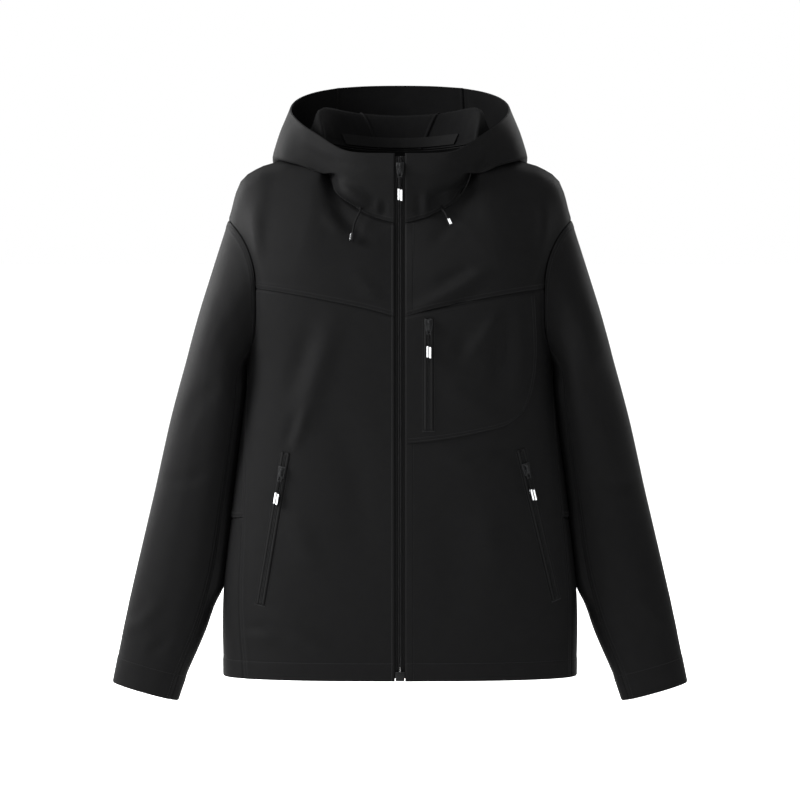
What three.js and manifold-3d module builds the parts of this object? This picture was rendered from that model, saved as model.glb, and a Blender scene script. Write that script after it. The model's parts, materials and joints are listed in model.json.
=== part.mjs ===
// Hooded softshell jacket, zipped up and filled out as if it were worn.
// Units are millimetres. +Z is up, the front faces -Y and +X is the wearer's left.
// The origin is the middle of the neck, level with the tops of the shoulders.

import * as THREE from 'three';
import Module from 'manifold-3d';
import { mergeVertices } from 'three/addons/utils/BufferGeometryUtils.js';

const wasm = await Module();
wasm.setup();

// Cloth and seams
const CLOTH = 2.0;
const FOLDED_CLOTH = 3.6;
const SEAM_GAP = 0.3;
const HEM_FOLD = 25;

// Heights of the body
const HEM_Z = -715;
const UNDERARM_Z = -270;
const YOKE_SIDE_Z = -172;
const YOKE_CENTRE_Z = -209;

// Half the width of the open strip between the fronts, which shows the main zip
const FRONT_EDGE = 7.2;

// Girth of the body: half width, depth to the front and to the back, and squareness of the curve
const BODY = [
  { z: -715, half: 248, front: 88, back: 88, square: 2.5 },
  { z: -603, half: 248, front: 93, back: 86, square: 2.5 },
  { z: -485, half: 235, front: 98, back: 84, square: 2.55 },
  { z: -371, half: 221, front: 102, back: 87, square: 2.7 },
  { z: -276, half: 213, front: 105, back: 94, square: 2.9 },
  { z: -215, half: 218, front: 106, back: 98, square: 3.0 },
  { z: -172, half: 219, front: 104, back: 100, square: 3.1 },
];

// Depth of the seams that bound the fronts and the back, from the middle plane
// Up to the underarm they are the side seams, and above it the armhole
const SIDE_SEAM = [
  { z: -715, left: 34, right: 53, back: 56 },
  { z: -442, left: 36, right: 46, back: 50 },
  { z: -371, left: 31, right: 33, back: 42 },
  { z: -270, left: 22, right: 22, back: 30 },
];
const ARMHOLE = [
  { z: -270, front: 22, back: 30 },
  { z: -256, front: 40, back: 50 },
  { z: -236, front: 51, back: 62 },
  { z: -206, front: 58, back: 71 },
  { z: -172, front: 59, back: 75 },
];
const UNDERARM_DIP = 6;

// The panels' edges are drawn in at the armhole, over this height and from this share of the width
const ARMHOLE_TUCK = { depth: 6, height: 45, from: 0.8 };

// How fast the yoke seam falls from the side towards the zip
const YOKE_FALL = 0.6;

// Top edge of the body: the neck seam up to NECK_SHARE of a panel's width, then the shoulder seam
const NECK_SHARE = 0.56;
const NECK_FRONT = [
  { at: 0.0, x: 7.2, y: -80, z: -81 },
  { at: 0.25, x: 36, y: -76, z: -73 },
  { at: 0.5, x: 68, y: -64, z: -56 },
  { at: 0.7, x: 90, y: -47, z: -33 },
  { at: 0.85, x: 100, y: -24, z: -2 },
  { at: 1.0, x: 102, y: 5, z: 29 },
];
const NECK_BACK = [
  { at: 0.0, x: 0, y: 74, z: 20 },
  { at: 0.35, x: 40, y: 68, z: 21 },
  { at: 0.7, x: 78, y: 46, z: 25 },
  { at: 1.0, x: 102, y: 5, z: 29 },
];
const SHOULDER = [
  { at: 0.0, x: 102, y: 5, z: 29 },
  { at: 0.3, x: 145, y: 5, z: 15 },
  { at: 0.55, x: 181, y: 5, z: 1 },
  { at: 0.78, x: 216, y: 6, z: -14 },
  { at: 0.9, x: 232, y: 7, z: -43 },
  { at: 1.0, x: 240, y: 8, z: -78 },
];

// How a panel runs up to its top edge: its slope there (0 upright, 90 level), and how long it
// stays straight at the bottom and at the top
const RISE = [
  { across: 0.0, slope: 14, low: 1.0, high: 0.9 },
  { across: 0.3, slope: 38, low: 1.0, high: 0.85 },
  { across: 0.5, slope: 72, low: 0.95, high: 0.8 },
  { across: 0.6, slope: 90, low: 0.95, high: 0.75 },
  { across: 0.85, slope: 90, low: 1.15, high: 0.75 },
  { across: 1.0, slope: 90, low: 1.6, high: 0.8 },
];

// The fold in front of the arm, which starts at the shoulder and runs down into the armhole
// Places are shares of the panel's width and height; drift is how far it moves in on its way up
const ARM_FOLD = {
  depth: 9, width: 0.09, from: 0.12, over: 0.8, drift: 0.1, driftFrom: 0.3, driftOver: 0.65,
};

// Sleeve sections: outermost and innermost point, depth, and middle of the depth
const SLEEVE = [
  { outX: 279, outZ: -200, inX: 217, inZ: -300, depth: 164, y: 8 },
  { outX: 300, outZ: -276, inX: 219, inZ: -340, depth: 154, y: 12 },
  { outX: 322, outZ: -357, inX: 226.5, inZ: -407, depth: 132, y: 16 },
  { outX: 344, outZ: -455, inX: 237.5, inZ: -494, depth: 108, y: 16 },
  { outX: 363, outZ: -536, inX: 249, inZ: -573, depth: 90, y: 10 },
  { outX: 381, outZ: -615, inX: 272, inZ: -652, depth: 76, y: 0 },
  { outX: 396, outZ: -689, inX: 298, inZ: -712, depth: 65, y: -6 },
  { outX: 403, outZ: -724, inX: 311, inZ: -750, depth: 60, y: -8 },
];
const SLEEVE_SQUARE = 2.2;

// Place along the sleeve, counted in sections, where the turned-up cuff starts
const CUFF_FROM = 6.95;

// The lowered hood, by stations from the front (0) to the middle of the back (1)
// The cloth rises from the neck seam to the ridge, falls to the turn and rises to the rim
const HOOD = [
  { at: 0.0, ridge: [7.2, -84, -56], turn: [7.2, -90, -18], rim: [7.2, -88, 16] },
  { at: 0.15, ridge: [46, -80, -46], turn: [53, -86, -13], rim: [58, -84, 17] },
  { at: 0.27, ridge: [77, -72, -34], turn: [83, -74, -6], rim: [84, -73, 23] },
  { at: 0.36, ridge: [99, -48, 8], turn: [105, -54, -13], rim: [108, -56, 38] },
  { at: 0.44, ridge: [108, -20, 48], turn: [137, -40, -2], rim: [134, -30, 55] },
  { at: 0.52, ridge: [112, 12, 68], turn: [166, -16, 5], rim: [149, 4, 69] },
  { at: 0.6, ridge: [110, 38, 77], turn: [176, 28, 4], rim: [154, 42, 80] },
  { at: 0.7, ridge: [100, 62, 79], turn: [166, 78, -26], rim: [147, 88, 92] },
  { at: 0.8, ridge: [80, 80, 75], turn: [132, 116, -62], rim: [122, 128, 103] },
  { at: 0.9, ridge: [45, 90, 70], turn: [76, 136, -88], rim: [74, 158, 111] },
  { at: 1.0, ridge: [0, 93, 68], turn: [0, 142, -95], rim: [0, 169, 113] },
];
const FALL_SAG = 12;
const WALL_BULGE = 5;

// Colours and finishes
const SOFTSHELL = new THREE.MeshStandardMaterial({ color: 0x1d1d1f, roughness: 0.82, metalness: 0 });
const TAPE = new THREE.MeshStandardMaterial({ color: 0x121214, roughness: 0.75, metalness: 0 });
const COIL = new THREE.MeshStandardMaterial({ color: 0x18181a, roughness: 0.4, metalness: 0 });
const METAL = new THREE.MeshStandardMaterial({ color: 0x2a2b2e, roughness: 0.35, metalness: 0.8 });
const GRIP = new THREE.MeshStandardMaterial({ color: 0xb4b6b8, roughness: 0.45, metalness: 0 });
const CORD = new THREE.MeshStandardMaterial({ color: 0x161618, roughness: 0.85, metalness: 0 });

const jacket = new THREE.Group();

// Small sums

const radians = (degrees) => degrees * Math.PI / 180;
const mix = (a, b, t) => a + (b - a) * t;
const clamp = (t) => Math.min(Math.max(t, 0), 1);
const blend = (t) => clamp(t) ** 2 * (3 - 2 * clamp(t));

function hermite(a, slopeA, b, slopeB, t) {
  const t2 = t * t;
  const t3 = t2 * t;
  return (2 * t3 - 3 * t2 + 1) * a + (t3 - 2 * t2 + t) * slopeA
    + (3 * t2 - 2 * t3) * b + (t3 - t2) * slopeB;
}

// The rows of a table on both sides of a place, and how far between them it lies
function around(rows, key, place) {
  let i = 0;
  while (i < rows.length - 2 && place > rows[i + 1][key]) i += 1;
  const span = rows[i + 1][key] - rows[i][key];
  const part = clamp((place - rows[i][key]) / span);
  const before = rows[Math.max(i - 1, 0)];
  const after = rows[Math.min(i + 2, rows.length - 1)];
  return { before, a: rows[i], b: rows[i + 1], after, part };
}

// A column of a table, read on a smooth curve through its rows; get takes the value from a row
function smooth(rows, key, place, get) {
  const { before, a, b, after, part } = around(rows, key, place);
  const span = b[key] - a[key];
  const slopeA = (get(b) - get(before)) / (b[key] - before[key]) * span;
  const slopeB = (get(after) - get(a)) / (after[key] - a[key]) * span;
  return hermite(get(a), slopeA, get(b), slopeB, part);
}

const read = (rows, key, place, column) => smooth(rows, key, place, (row) => row[column]);
const readPoint = (rows, key, place) => new THREE.Vector3(
  read(rows, key, place, 'x'),
  read(rows, key, place, 'y'),
  read(rows, key, place, 'z'),
);

// Evenly spread places from start to end
function spread(start, end, steps) {
  return Array.from({ length: steps + 1 }, (_, i) => mix(start, end, i / steps));
}

// Solids

// Closes points and faces into one mesh geometry
function geometryOf(points, faces) {
  const geometry = new THREE.BufferGeometry();
  const numbers = points.flatMap((p) => p.toArray());
  geometry.setAttribute('position', new THREE.Float32BufferAttribute(numbers, 3));
  geometry.setIndex(faces);
  return geometry;
}

// The same geometry on the other side of the body
function mirrored(geometry) {
  const copy = geometry.clone();
  copy.scale(-1, 1, 1);
  const index = Array.from(copy.getIndex().array);
  for (let i = 0; i < index.length; i += 3) [index[i], index[i + 1]] = [index[i + 1], index[i]];
  copy.setIndex(index);
  return copy;
}

// Direction of a surface along one of its two parameters, between the lowest u and 1
function slopeOf(surface, lowest, u, v, du, dv) {
  const ahead = surface(Math.min(u + du, 1), Math.min(v + dv, 1));
  const behind = surface(Math.max(u - du, lowest), Math.max(v - dv, 0));
  return ahead.sub(behind).normalize();
}

// Step, as a share of a surface, over which its slope is measured
const SLOPE_STEP = 0.004;

// A wall of cloth on a surface(u, v) whose u may run from lowest to 1 and v from 0 to 1
// facing is 1 where the u-direction crossed with the v-direction points out of the garment
// trim draws edges back, by half a seam gap unless it says more; lift moves the wall off the surface
function wall(surface, us, vs, options) {
  const { thick = () => CLOTH, facing = 1, lift = 0, lowest = 0, trim = {} } = options;
  const outer = [];
  const inner = [];
  us.forEach((u, i) => vs.forEach((v, j) => {
    const along = slopeOf(surface, lowest, u, v, SLOPE_STEP, 0);
    const up = slopeOf(surface, lowest, u, v, 0, SLOPE_STEP);
    const normal = new THREE.Vector3().crossVectors(along, up).normalize().multiplyScalar(facing);
    const point = surface(u, v).addScaledVector(normal, lift);
    if (i === 0) point.addScaledVector(along, trim.first ?? SEAM_GAP / 2);
    if (i === us.length - 1) point.addScaledVector(along, -(trim.last ?? SEAM_GAP / 2));
    if (j === 0) point.addScaledVector(up, trim.bottom ?? SEAM_GAP / 2);
    if (j === vs.length - 1) point.addScaledVector(up, -(trim.top ?? SEAM_GAP / 2));
    outer.push(point);
    inner.push(point.clone().addScaledVector(normal, -thick(u, v)));
  }));
  const rows = vs.length;
  const back = outer.length;
  const at = (i, j) => i * rows + j;
  const faces = [];
  const quad = (a, b, c, d) => (facing > 0 ? faces.push(a, b, c, a, c, d) : faces.push(a, c, b, a, d, c));
  for (let i = 0; i < us.length - 1; i += 1) {
    for (let j = 0; j < rows - 1; j += 1) {
      quad(at(i, j), at(i + 1, j), at(i + 1, j + 1), at(i, j + 1));
      quad(back + at(i, j), back + at(i, j + 1), back + at(i + 1, j + 1), back + at(i + 1, j));
    }
    quad(at(i, 0), back + at(i, 0), back + at(i + 1, 0), at(i + 1, 0));
    const top = rows - 1;
    quad(back + at(i + 1, top), back + at(i, top), at(i, top), at(i + 1, top));
  }
  for (let j = 0; j < rows - 1; j += 1) {
    quad(back + at(0, j + 1), back + at(0, j), at(0, j), at(0, j + 1));
    const i = us.length - 1;
    quad(at(i, j), back + at(i, j), back + at(i, j + 1), at(i, j + 1));
  }
  return geometryOf([...outer, ...inner], faces);
}

// A bar through a row of sections, each a list of corners that turns anticlockwise seen from its end
function bar(sections) {
  const corners = sections[0].length;
  const faces = [];
  for (let i = 0; i < sections.length - 1; i += 1) {
    for (let k = 0; k < corners; k += 1) {
      const a = i * corners + k;
      const b = i * corners + (k + 1) % corners;
      faces.push(a, b, b + corners, a, b + corners, a + corners);
    }
  }
  const last = (sections.length - 1) * corners;
  for (let k = 1; k < corners - 1; k += 1) {
    faces.push(0, k + 1, k);
    faces.push(last, last + k, last + k + 1);
  }
  return geometryOf(sections.flat(), faces);
}

function add(name, geometry, material, parent = jacket) {
  const mesh = new THREE.Mesh(geometry, material);
  mesh.name = name;
  parent.add(mesh);
  return mesh;
}

// Body surfaces

// The body's level curve: side is front or back, turn runs from 0 in the middle to 90 degrees at the side
function level(side, z, turn) {
  const half = read(BODY, 'z', z, 'half');
  const depth = read(BODY, 'z', z, side);
  const power = 2 / read(BODY, 'z', z, 'square');
  const sign = side === 'front' ? -1 : 1;
  const cosine = Math.max(Math.cos(turn), 0);
  return new THREE.Vector3(half * Math.sin(turn) ** power, sign * depth * cosine ** power, z);
}

// Turn at which the level curve reaches a depth, or a width
function turnAtDepth(side, z, y) {
  const power = 2 / read(BODY, 'z', z, 'square');
  return Math.acos((y / read(BODY, 'z', z, side)) ** (1 / power));
}
function turnAtWidth(z, x) {
  const power = 2 / read(BODY, 'z', z, 'square');
  return Math.asin((x / read(BODY, 'z', z, 'half')) ** (1 / power));
}

// Depth of the seam that ends the front or the back at a height, on the left or right of the wearer
function seamDepth(side, hand, z) {
  if (z > UNDERARM_Z) return read(ARMHOLE, 'z', z, side);
  return read(SIDE_SEAM, 'z', z, side === 'front' ? hand : 'back');
}

// A panel of the body below its top part: u runs from the middle to the side seam, z at the seam and
// in the middle may differ, because the yoke seam falls towards the zip
function lowerPanel(side, hand, u, zSide, zMiddle) {
  const z = mix(zMiddle, zSide, Math.sin(u * Math.PI / 2) ** YOKE_FALL);
  const start = side === 'front' ? turnAtWidth(z, FRONT_EDGE) : 0;
  const end = turnAtDepth(side, z, seamDepth(side, hand, z));
  const point = level(side, z, mix(start, end, u));
  const tuck = blend((z - UNDERARM_Z) / ARMHOLE_TUCK.height);
  point.x -= ARMHOLE_TUCK.depth * tuck * blend((u - ARMHOLE_TUCK.from) / (1 - ARMHOLE_TUCK.from));
  return point;
}

// Top edge of a panel: neck seam, then shoulder seam
function topEdge(side, u) {
  const neck = side === 'front' ? NECK_FRONT : NECK_BACK;
  if (u < NECK_SHARE) return readPoint(neck, 'at', u / NECK_SHARE);
  return readPoint(SHOULDER, 'at', (u - NECK_SHARE) / (1 - NECK_SHARE));
}

// How far each line leans back where it leaves the bottom edge, and the share of the panel's width
// over which the fold dies out at the armhole
const LEAN = 0.05;
const FOLD_END = 0.03;

// The part of a panel over the shoulder: each line runs up from the bottom edge and lies back at the top
function upperPanel(side, bottom, u, v) {
  const start = bottom(u);
  const end = topEdge(side, u);
  const reach = start.distanceTo(end);
  const slope = radians(Math.min(read(RISE, 'across', u, 'slope'), 90));
  const back = side === 'front' ? 1 : -1;
  const low = new THREE.Vector3(0, -back * LEAN, 1).setLength(reach * read(RISE, 'across', u, 'low'));
  const high = new THREE.Vector3(0, back * Math.sin(slope), Math.cos(slope));
  high.multiplyScalar(reach * read(RISE, 'across', u, 'high'));
  const point = new THREE.Vector3(
    hermite(start.x, low.x, end.x, high.x, v),
    hermite(start.y, low.y, end.y, high.y, v),
    hermite(start.z, low.z, end.z, high.z, v),
  );
  const foldAt = 1 - ARM_FOLD.drift * blend((v - ARM_FOLD.driftFrom) / ARM_FOLD.driftOver);
  const nearFold = Math.max(1 - Math.abs(u - foldAt) / ARM_FOLD.width, 0);
  const strength = Math.sin(Math.PI * clamp((v - ARM_FOLD.from) / ARM_FOLD.over));
  point.y += back * ARM_FOLD.depth * strength * nearFold ** 1.5 * blend((1 - u) / FOLD_END);
  return point;
}

// Panels

// Heights of the rows at the side seam, shared by all the pieces that meet there
const SIDE_ROWS = [-715, -690, -640, -590, -540, -490, -440, -390, -345, -305, -270];
const ARMHOLE_ROWS = [-270, -256, -236, -206, -172];
const RISE_ROWS = [0, 0.13, 0.27, 0.42, 0.58, 0.76, 1];
const NECK_STEPS = 8;
const SHOULDER_STEPS = 6;
const ACROSS = [
  ...spread(0, NECK_SHARE, NECK_STEPS),
  ...spread(NECK_SHARE, 1, SHOULDER_STEPS).slice(1),
];
const BODY_ROWS = [...SIDE_ROWS, ...ARMHOLE_ROWS.slice(1)];

const frontShare = (z) => (z - HEM_Z) / (YOKE_SIDE_Z - HEM_Z);

// The folded hem is thicker, and thins to a single cloth over a short height at its top
const HEM_THINS = 4;
const hemThick = (z) => mix(FOLDED_CLOTH, CLOTH, blend((z - HEM_Z - HEM_FOLD) / HEM_THINS + 0.5));

const frontSurface = (hand) => (u, v) => lowerPanel(
  'front',
  hand,
  u,
  mix(HEM_Z, YOKE_SIDE_Z, v),
  mix(HEM_Z, YOKE_CENTRE_Z, v),
);
const yokeSurface = (hand) => {
  const below = frontSurface(hand);
  return (u, v) => upperPanel('front', (across) => below(across, 1), u, v);
};
const backLow = (u, v) => {
  const z = mix(HEM_Z, YOKE_SIDE_Z, v);
  return lowerPanel('back', 'left', u, z, z);
};
const BACK_SHARE = 0.7;
const backSurface = (u, v) => {
  const across = Math.abs(u);
  const point = v <= BACK_SHARE
    ? backLow(across, v / BACK_SHARE)
    : upperPanel('back', (at) => backLow(at, 1), across, (v - BACK_SHARE) / (1 - BACK_SHARE));
  point.x *= Math.sign(u);
  return point;
};

function addBody() {
  const frontRows = BODY_ROWS.map(frontShare);
  const frontThick = (u, v) => hemThick(mix(HEM_Z, YOKE_SIDE_Z, v));
  for (const hand of ['left', 'right']) {
    const place = hand === 'left' ? (geometry) => geometry : mirrored;
    const front = wall(frontSurface(hand), ACROSS, frontRows, {
      thick: frontThick,
      trim: { first: 0, bottom: 0 },
    });
    add(`front_${hand}`, place(front), SOFTSHELL);
    const yoke = wall(yokeSurface(hand), ACROSS, RISE_ROWS, { trim: { first: 0 } });
    add(`yoke_${hand}`, place(yoke), SOFTSHELL);
    addSide(hand, place);
  }
  const backAcross = [...ACROSS.slice(1).reverse().map((u) => -u), ...ACROSS];
  const backRows = [
    ...BODY_ROWS.map((z) => frontShare(z) * BACK_SHARE),
    ...RISE_ROWS.slice(1).map((v) => mix(BACK_SHARE, 1, v)),
  ];
  const back = wall(backSurface, backAcross, backRows, {
    thick: (u, v) => hemThick(mix(HEM_Z, YOKE_SIDE_Z, v / BACK_SHARE)),
    facing: -1,
    lowest: -1,
    trim: { bottom: 0 },
  });
  add('back', back, SOFTSHELL);
}

// Side panel: u runs from the front seam (0) round the side to the back seam (1)
const sideTop = (u) => UNDERARM_Z - UNDERARM_DIP * (1 - (2 * u - 1) ** 2);
const sideSurface = (hand) => (u, v) => {
  const z = mix(HEM_Z, sideTop(u), v);
  const seamZ = mix(HEM_Z, UNDERARM_Z, v);
  const away = 2 * u - 1;
  const side = away < 0 ? 'front' : 'back';
  const end = turnAtDepth(side, seamZ, seamDepth(side, hand, seamZ));
  return level(side, z, mix(Math.PI / 2, end, Math.abs(away)));
};
const SIDE_SPLIT_Z = -490;
const SIDE_ACROSS = spread(0, 1, 6);

function addSide(hand, place) {
  const share = (z) => (z - HEM_Z) / (UNDERARM_Z - HEM_Z);
  const lower = SIDE_ROWS.filter((z) => z <= SIDE_SPLIT_Z).map(share);
  const upper = SIDE_ROWS.filter((z) => z >= SIDE_SPLIT_Z).map(share);
  const thick = (u, v) => hemThick(mix(HEM_Z, UNDERARM_Z, v));
  const surface = sideSurface(hand);
  const lowerSolid = wall(surface, SIDE_ACROSS, lower, { thick, trim: { bottom: 0 } });
  add(`side_lower_${hand}`, place(lowerSolid), SOFTSHELL);
  add(`side_upper_${hand}`, place(wall(surface, SIDE_ACROSS, upper, { thick })), SOFTSHELL);
}

// Sleeves

// The armhole's points, from the shoulder tip down the front, round the underarm and up the back
function armholeRing(hand) {
  const yoke = yokeSurface(hand);
  const front = frontSurface(hand);
  const side = sideSurface(hand);
  const ring = [...RISE_ROWS].reverse().map((v) => yoke(1, v));
  const below = [...ARMHOLE_ROWS].reverse().slice(1);
  ring.push(...below.map((z) => front(1, frontShare(z))));
  ring.push(...SIDE_ACROSS.slice(1).map((u) => side(u, 1)));
  ring.push(...ARMHOLE_ROWS.slice(1).map((z) => backLow(1, frontShare(z))));
  ring.push(...RISE_ROWS.slice(1, -1).map((v) => backSurface(1, mix(BACK_SHARE, 1, v))));
  return ring;
}

// Half the height and half the depth of the armhole, for the angle round the sleeve
const ARMHOLE_HALF_HEIGHT = 98;
const ARMHOLE_HALF_DEPTH = 75;

function sleevePoint(section, angle) {
  const half = Math.hypot(section.outX - section.inX, section.outZ - section.inZ) / 2;
  const out = new THREE.Vector3(section.outX - section.inX, 0, section.outZ - section.inZ);
  out.normalize();
  const power = 2 / SLEEVE_SQUARE;
  const shape = (value) => Math.sign(value) * Math.abs(value) ** power;
  const point = new THREE.Vector3(
    (section.outX + section.inX) / 2,
    section.y,
    (section.outZ + section.inZ) / 2,
  );
  point.addScaledVector(out, half * shape(Math.cos(angle)));
  point.y -= section.depth / 2 * shape(Math.sin(angle));
  return point;
}

// Rows along the sleeve, counted in sections from the armhole (0) to the cuff
const SLEEVE_ROWS = [0, 0.28, 0.6, 1, 1.5, 2, 2.5, 3, 3.5, 4, 4.5, 5, 5.5, 6, 6.9, 7, 8];

// The armhole's points where the sleeve's front seam and back seam start
const FRONT_SEAM_POINT = 9;
const BACK_SEAM_POINT = 19;

// The whole sleeve: round counts the armhole's points, along runs from the armhole (0) to the cuff
function sleeveSurface(hand) {
  const ring = armholeRing(hand);
  const middle = ring.reduce((sum, p) => sum.add(p), new THREE.Vector3()).divideScalar(ring.length);
  const edge = new THREE.CatmullRomCurve3(ring, true, 'catmullrom', 0.5);
  const whole = (round, along) => {
    const share = round / ring.length;
    const start = edge.getPoint(share - Math.floor(share));
    const angle = Math.atan2(
      -(start.y - middle.y) / ARMHOLE_HALF_DEPTH,
      (start.z - middle.z) / ARMHOLE_HALF_HEIGHT,
    );
    const rows = [
      { at: 0, point: start },
      ...SLEEVE.map((section, i) => ({ at: i + 1, point: sleevePoint(section, angle) })),
    ];
    return new THREE.Vector3(
      smooth(rows, 'at', along, (row) => row.point.x),
      smooth(rows, 'at', along, (row) => row.point.y),
      smooth(rows, 'at', along, (row) => row.point.z),
    );
  };
  return { whole, count: ring.length };
}

function addSleeves() {
  const last = SLEEVE.length;
  const shares = SLEEVE_ROWS.map((row) => row / last);
  const cuffThick = (u, v) => (v > CUFF_FROM / last ? FOLDED_CLOTH : CLOTH);
  for (const hand of ['left', 'right']) {
    const place = hand === 'left' ? (geometry) => geometry : mirrored;
    const { whole, count } = sleeveSurface(hand);
    const pieces = [
      { name: 'sleeve_under', from: FRONT_SEAM_POINT, to: BACK_SEAM_POINT },
      { name: 'sleeve_upper', from: BACK_SEAM_POINT - count, to: FRONT_SEAM_POINT },
    ];
    for (const piece of pieces) {
      const steps = piece.to - piece.from;
      const surface = (u, v) => whole(mix(piece.from, piece.to, u), v * last);
      const solid = wall(surface, spread(0, 1, steps), shares, {
        thick: cuffThick,
        trim: { top: 0, bottom: SEAM_GAP },
      });
      add(`${piece.name}_${hand}`, place(solid), SOFTSHELL);
    }
  }
}

// Hood

// Station along the hood: 0 at the zip, 0.5 at the shoulder seam, 1 in the middle of the back
function neckPoint(station) {
  if (station <= 0.5) return topEdge('front', station * 2 * NECK_SHARE);
  return topEdge('back', (1 - station) * 2 * NECK_SHARE);
}

// Stations over which the standing collar becomes the folded hood
const FOLDED_FROM = 0.3;
const FOLDED_OVER = 0.25;

// The hood's cloth: u is the station, v runs from the neck seam (0) to the rim (1)
function hoodSurface(u, v) {
  const read3 = (column) => new THREE.Vector3(
    smooth(HOOD, 'at', u, (row) => row[column][0]),
    smooth(HOOD, 'at', u, (row) => row[column][1]),
    smooth(HOOD, 'at', u, (row) => row[column][2]),
  );
  const neck = neckPoint(u);
  const ridge = read3('ridge');
  const turn = read3('turn');
  const rim = read3('rim');
  const folded = blend((u - FOLDED_FROM) / FOLDED_OVER);
  const inward = new THREE.Vector3(-turn.x, -turn.y, 0).normalize();
  const fall = ridge.clone().lerp(turn, 0.45).addScaledVector(inward, FALL_SAG * folded);
  const outer = turn.clone().lerp(rim, 0.45).addScaledVector(inward, -WALL_BULGE * folded);
  const rows = [
    { at: 0, point: neck },
    { at: 0.2, point: ridge },
    { at: 0.4, point: fall },
    { at: 0.6, point: turn },
    { at: 0.8, point: outer },
    { at: 1, point: rim },
  ];
  return new THREE.Vector3(
    smooth(rows, 'at', v, (row) => row.point.x),
    smooth(rows, 'at', v, (row) => row.point.y),
    smooth(rows, 'at', v, (row) => row.point.z),
  );
}

const HOOD_STATIONS = [
  ...spread(0, 0.5, NECK_STEPS),
  ...spread(0.5, 1, NECK_STEPS).slice(1),
];
const HOOD_ROWS = spread(0, 1, 20);

// Count of stations before the seam between the hood's side and its centre panel
const HOOD_SEAM_STEP = 14;

function addHood() {
  const sides = HOOD_STATIONS.slice(0, HOOD_SEAM_STEP + 1);
  const side = wall(hoodSurface, sides, HOOD_ROWS, { trim: { first: 0, top: 0, bottom: SEAM_GAP } });
  add('hood_side_left', side, SOFTSHELL);
  add('hood_side_right', mirrored(side), SOFTSHELL);
  const middle = HOOD_STATIONS.slice(HOOD_SEAM_STEP).map((station) => 1 - station);
  const across = [...middle.map((at) => -at), ...[...middle].reverse().slice(1)];
  const centre = (u, v) => {
    const point = hoodSurface(1 - Math.abs(u), v);
    point.x *= -Math.sign(u);
    return point;
  };
  const trim = { top: 0, bottom: SEAM_GAP };
  add('hood_centre', wall(centre, across, HOOD_ROWS, { lowest: -1, trim }), SOFTSHELL);
}

// Tape over the back neck seam, on the inside: its first station, its edges as shares of the hood's
// cloth, its thickness and its distance below the cloth's face
const NECK_TAPE = { from: 0.66, low: 0.01, high: 0.055, thick: 0.8, depth: CLOTH + 2 * SEAM_GAP };

function addNeckTape() {
  const reach = 1 - NECK_TAPE.from;
  const surface = (u, v) => {
    const point = hoodSurface(1 - Math.abs(u) * reach, mix(NECK_TAPE.low, NECK_TAPE.high, v));
    point.x *= -Math.sign(u);
    return point;
  };
  const tape = wall(surface, spread(-1, 1, 16), [0, 1], {
    thick: () => NECK_TAPE.thick,
    lift: -NECK_TAPE.depth,
    lowest: -1,
    trim: { first: 0, last: 0, top: 0, bottom: 0 },
  });
  add('neck_tape', tape, TAPE);
}

// Main zip

// Depths below the cloth's face, from the outside in
const CHAIN_HALF = 2.9;
const CHAIN_FACE = 0.9;
const TAPE_FACE = 3.3;
const TAPE_BACK = 4.2;
const TAPE_REACH = 12.5;

// The box at the foot of the zip stands out of the cloth and starts just above the hem's edge
const BOX = { half: 6.2, height: 13, proud: 0.8, above: 0.5 };

// Heights between which the zip is straight, then those at its bend below the neck and its top
const ZIP_STRAIGHT_TOP = -100;
const ZIP_BEND = [-84, -66, -40, -15, 12];
const TAPE_BOTTOM = HEM_Z + HEM_FOLD + 6;

// The line of the main zip in the middle plane, from the hem to the top of the collar
function zipLine() {
  const front = frontSurface('left');
  const yoke = yokeSurface('left');
  const points = [
    ...spread(0, 1, 9).map((v) => front(0, v)),
    ...spread(0, 1, 4).slice(1).map((v) => yoke(0, v)),
    ...spread(0, 1, 5).slice(1).map((v) => hoodSurface(0, v)),
  ];
  return new THREE.CatmullRomCurve3(points.map((p) => new THREE.Vector3(0, p.y, p.z)));
}

// Place on the zip line at a height, with the direction up the zip and out of the cloth
function onZip(line, z) {
  let low = 0;
  let high = 1;
  while (high - low > 1e-6) {
    const half = (low + high) / 2;
    if (line.getPointAt(half).z < z) low = half;
    else high = half;
  }
  const point = line.getPointAt(low);
  const up = line.getTangentAt(low);
  return { point, up, out: new THREE.Vector3(0, -up.z, up.y) };
}

// A strip along the zip line between two heights, two widths and two depths below the face
function zipStrip(line, heights, [x0, x1], [face, back]) {
  return bar(heights.map((z) => {
    const { point, out } = onZip(line, z);
    const corner = (x, depth) => new THREE.Vector3(x, point.y, point.z).addScaledVector(out, -depth);
    return [corner(x0, face), corner(x1, face), corner(x1, back), corner(x0, back)];
  }));
}

function addMainZip() {
  const line = zipLine();
  const heights = (bottom) => [...spread(bottom, ZIP_STRAIGHT_TOP, 14), ...ZIP_BEND];
  const strip = (bottom, across, depths) => zipStrip(line, heights(bottom), across, depths);
  const chainBottom = HEM_Z + BOX.height + BOX.above;
  const inner = CHAIN_HALF + SEAM_GAP;
  const tape = [TAPE_FACE, TAPE_BACK];
  add('zip_chain', strip(chainBottom, [-CHAIN_HALF, CHAIN_HALF], [CHAIN_FACE, TAPE_BACK]), COIL);
  add('zip_tape_left', strip(TAPE_BOTTOM, [inner, TAPE_REACH], tape), TAPE);
  add('zip_tape_right', strip(TAPE_BOTTOM, [-TAPE_REACH, -inner], tape), TAPE);
  const boxHeights = [HEM_Z + BOX.above, HEM_Z + BOX.height];
  const boxDepths = [-BOX.proud, TAPE_FACE - SEAM_GAP];
  add('zip_box', zipStrip(line, boxHeights, [-BOX.half, BOX.half], boxDepths), METAL);
  const { point, up, out } = onZip(line, MAIN_SLIDER_Z);
  const seat = point.addScaledVector(out, SEAM_GAP - CHAIN_FACE);
  addPull('main_*', seat, new THREE.Vector3(1, 0, 0), up);
}

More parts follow.
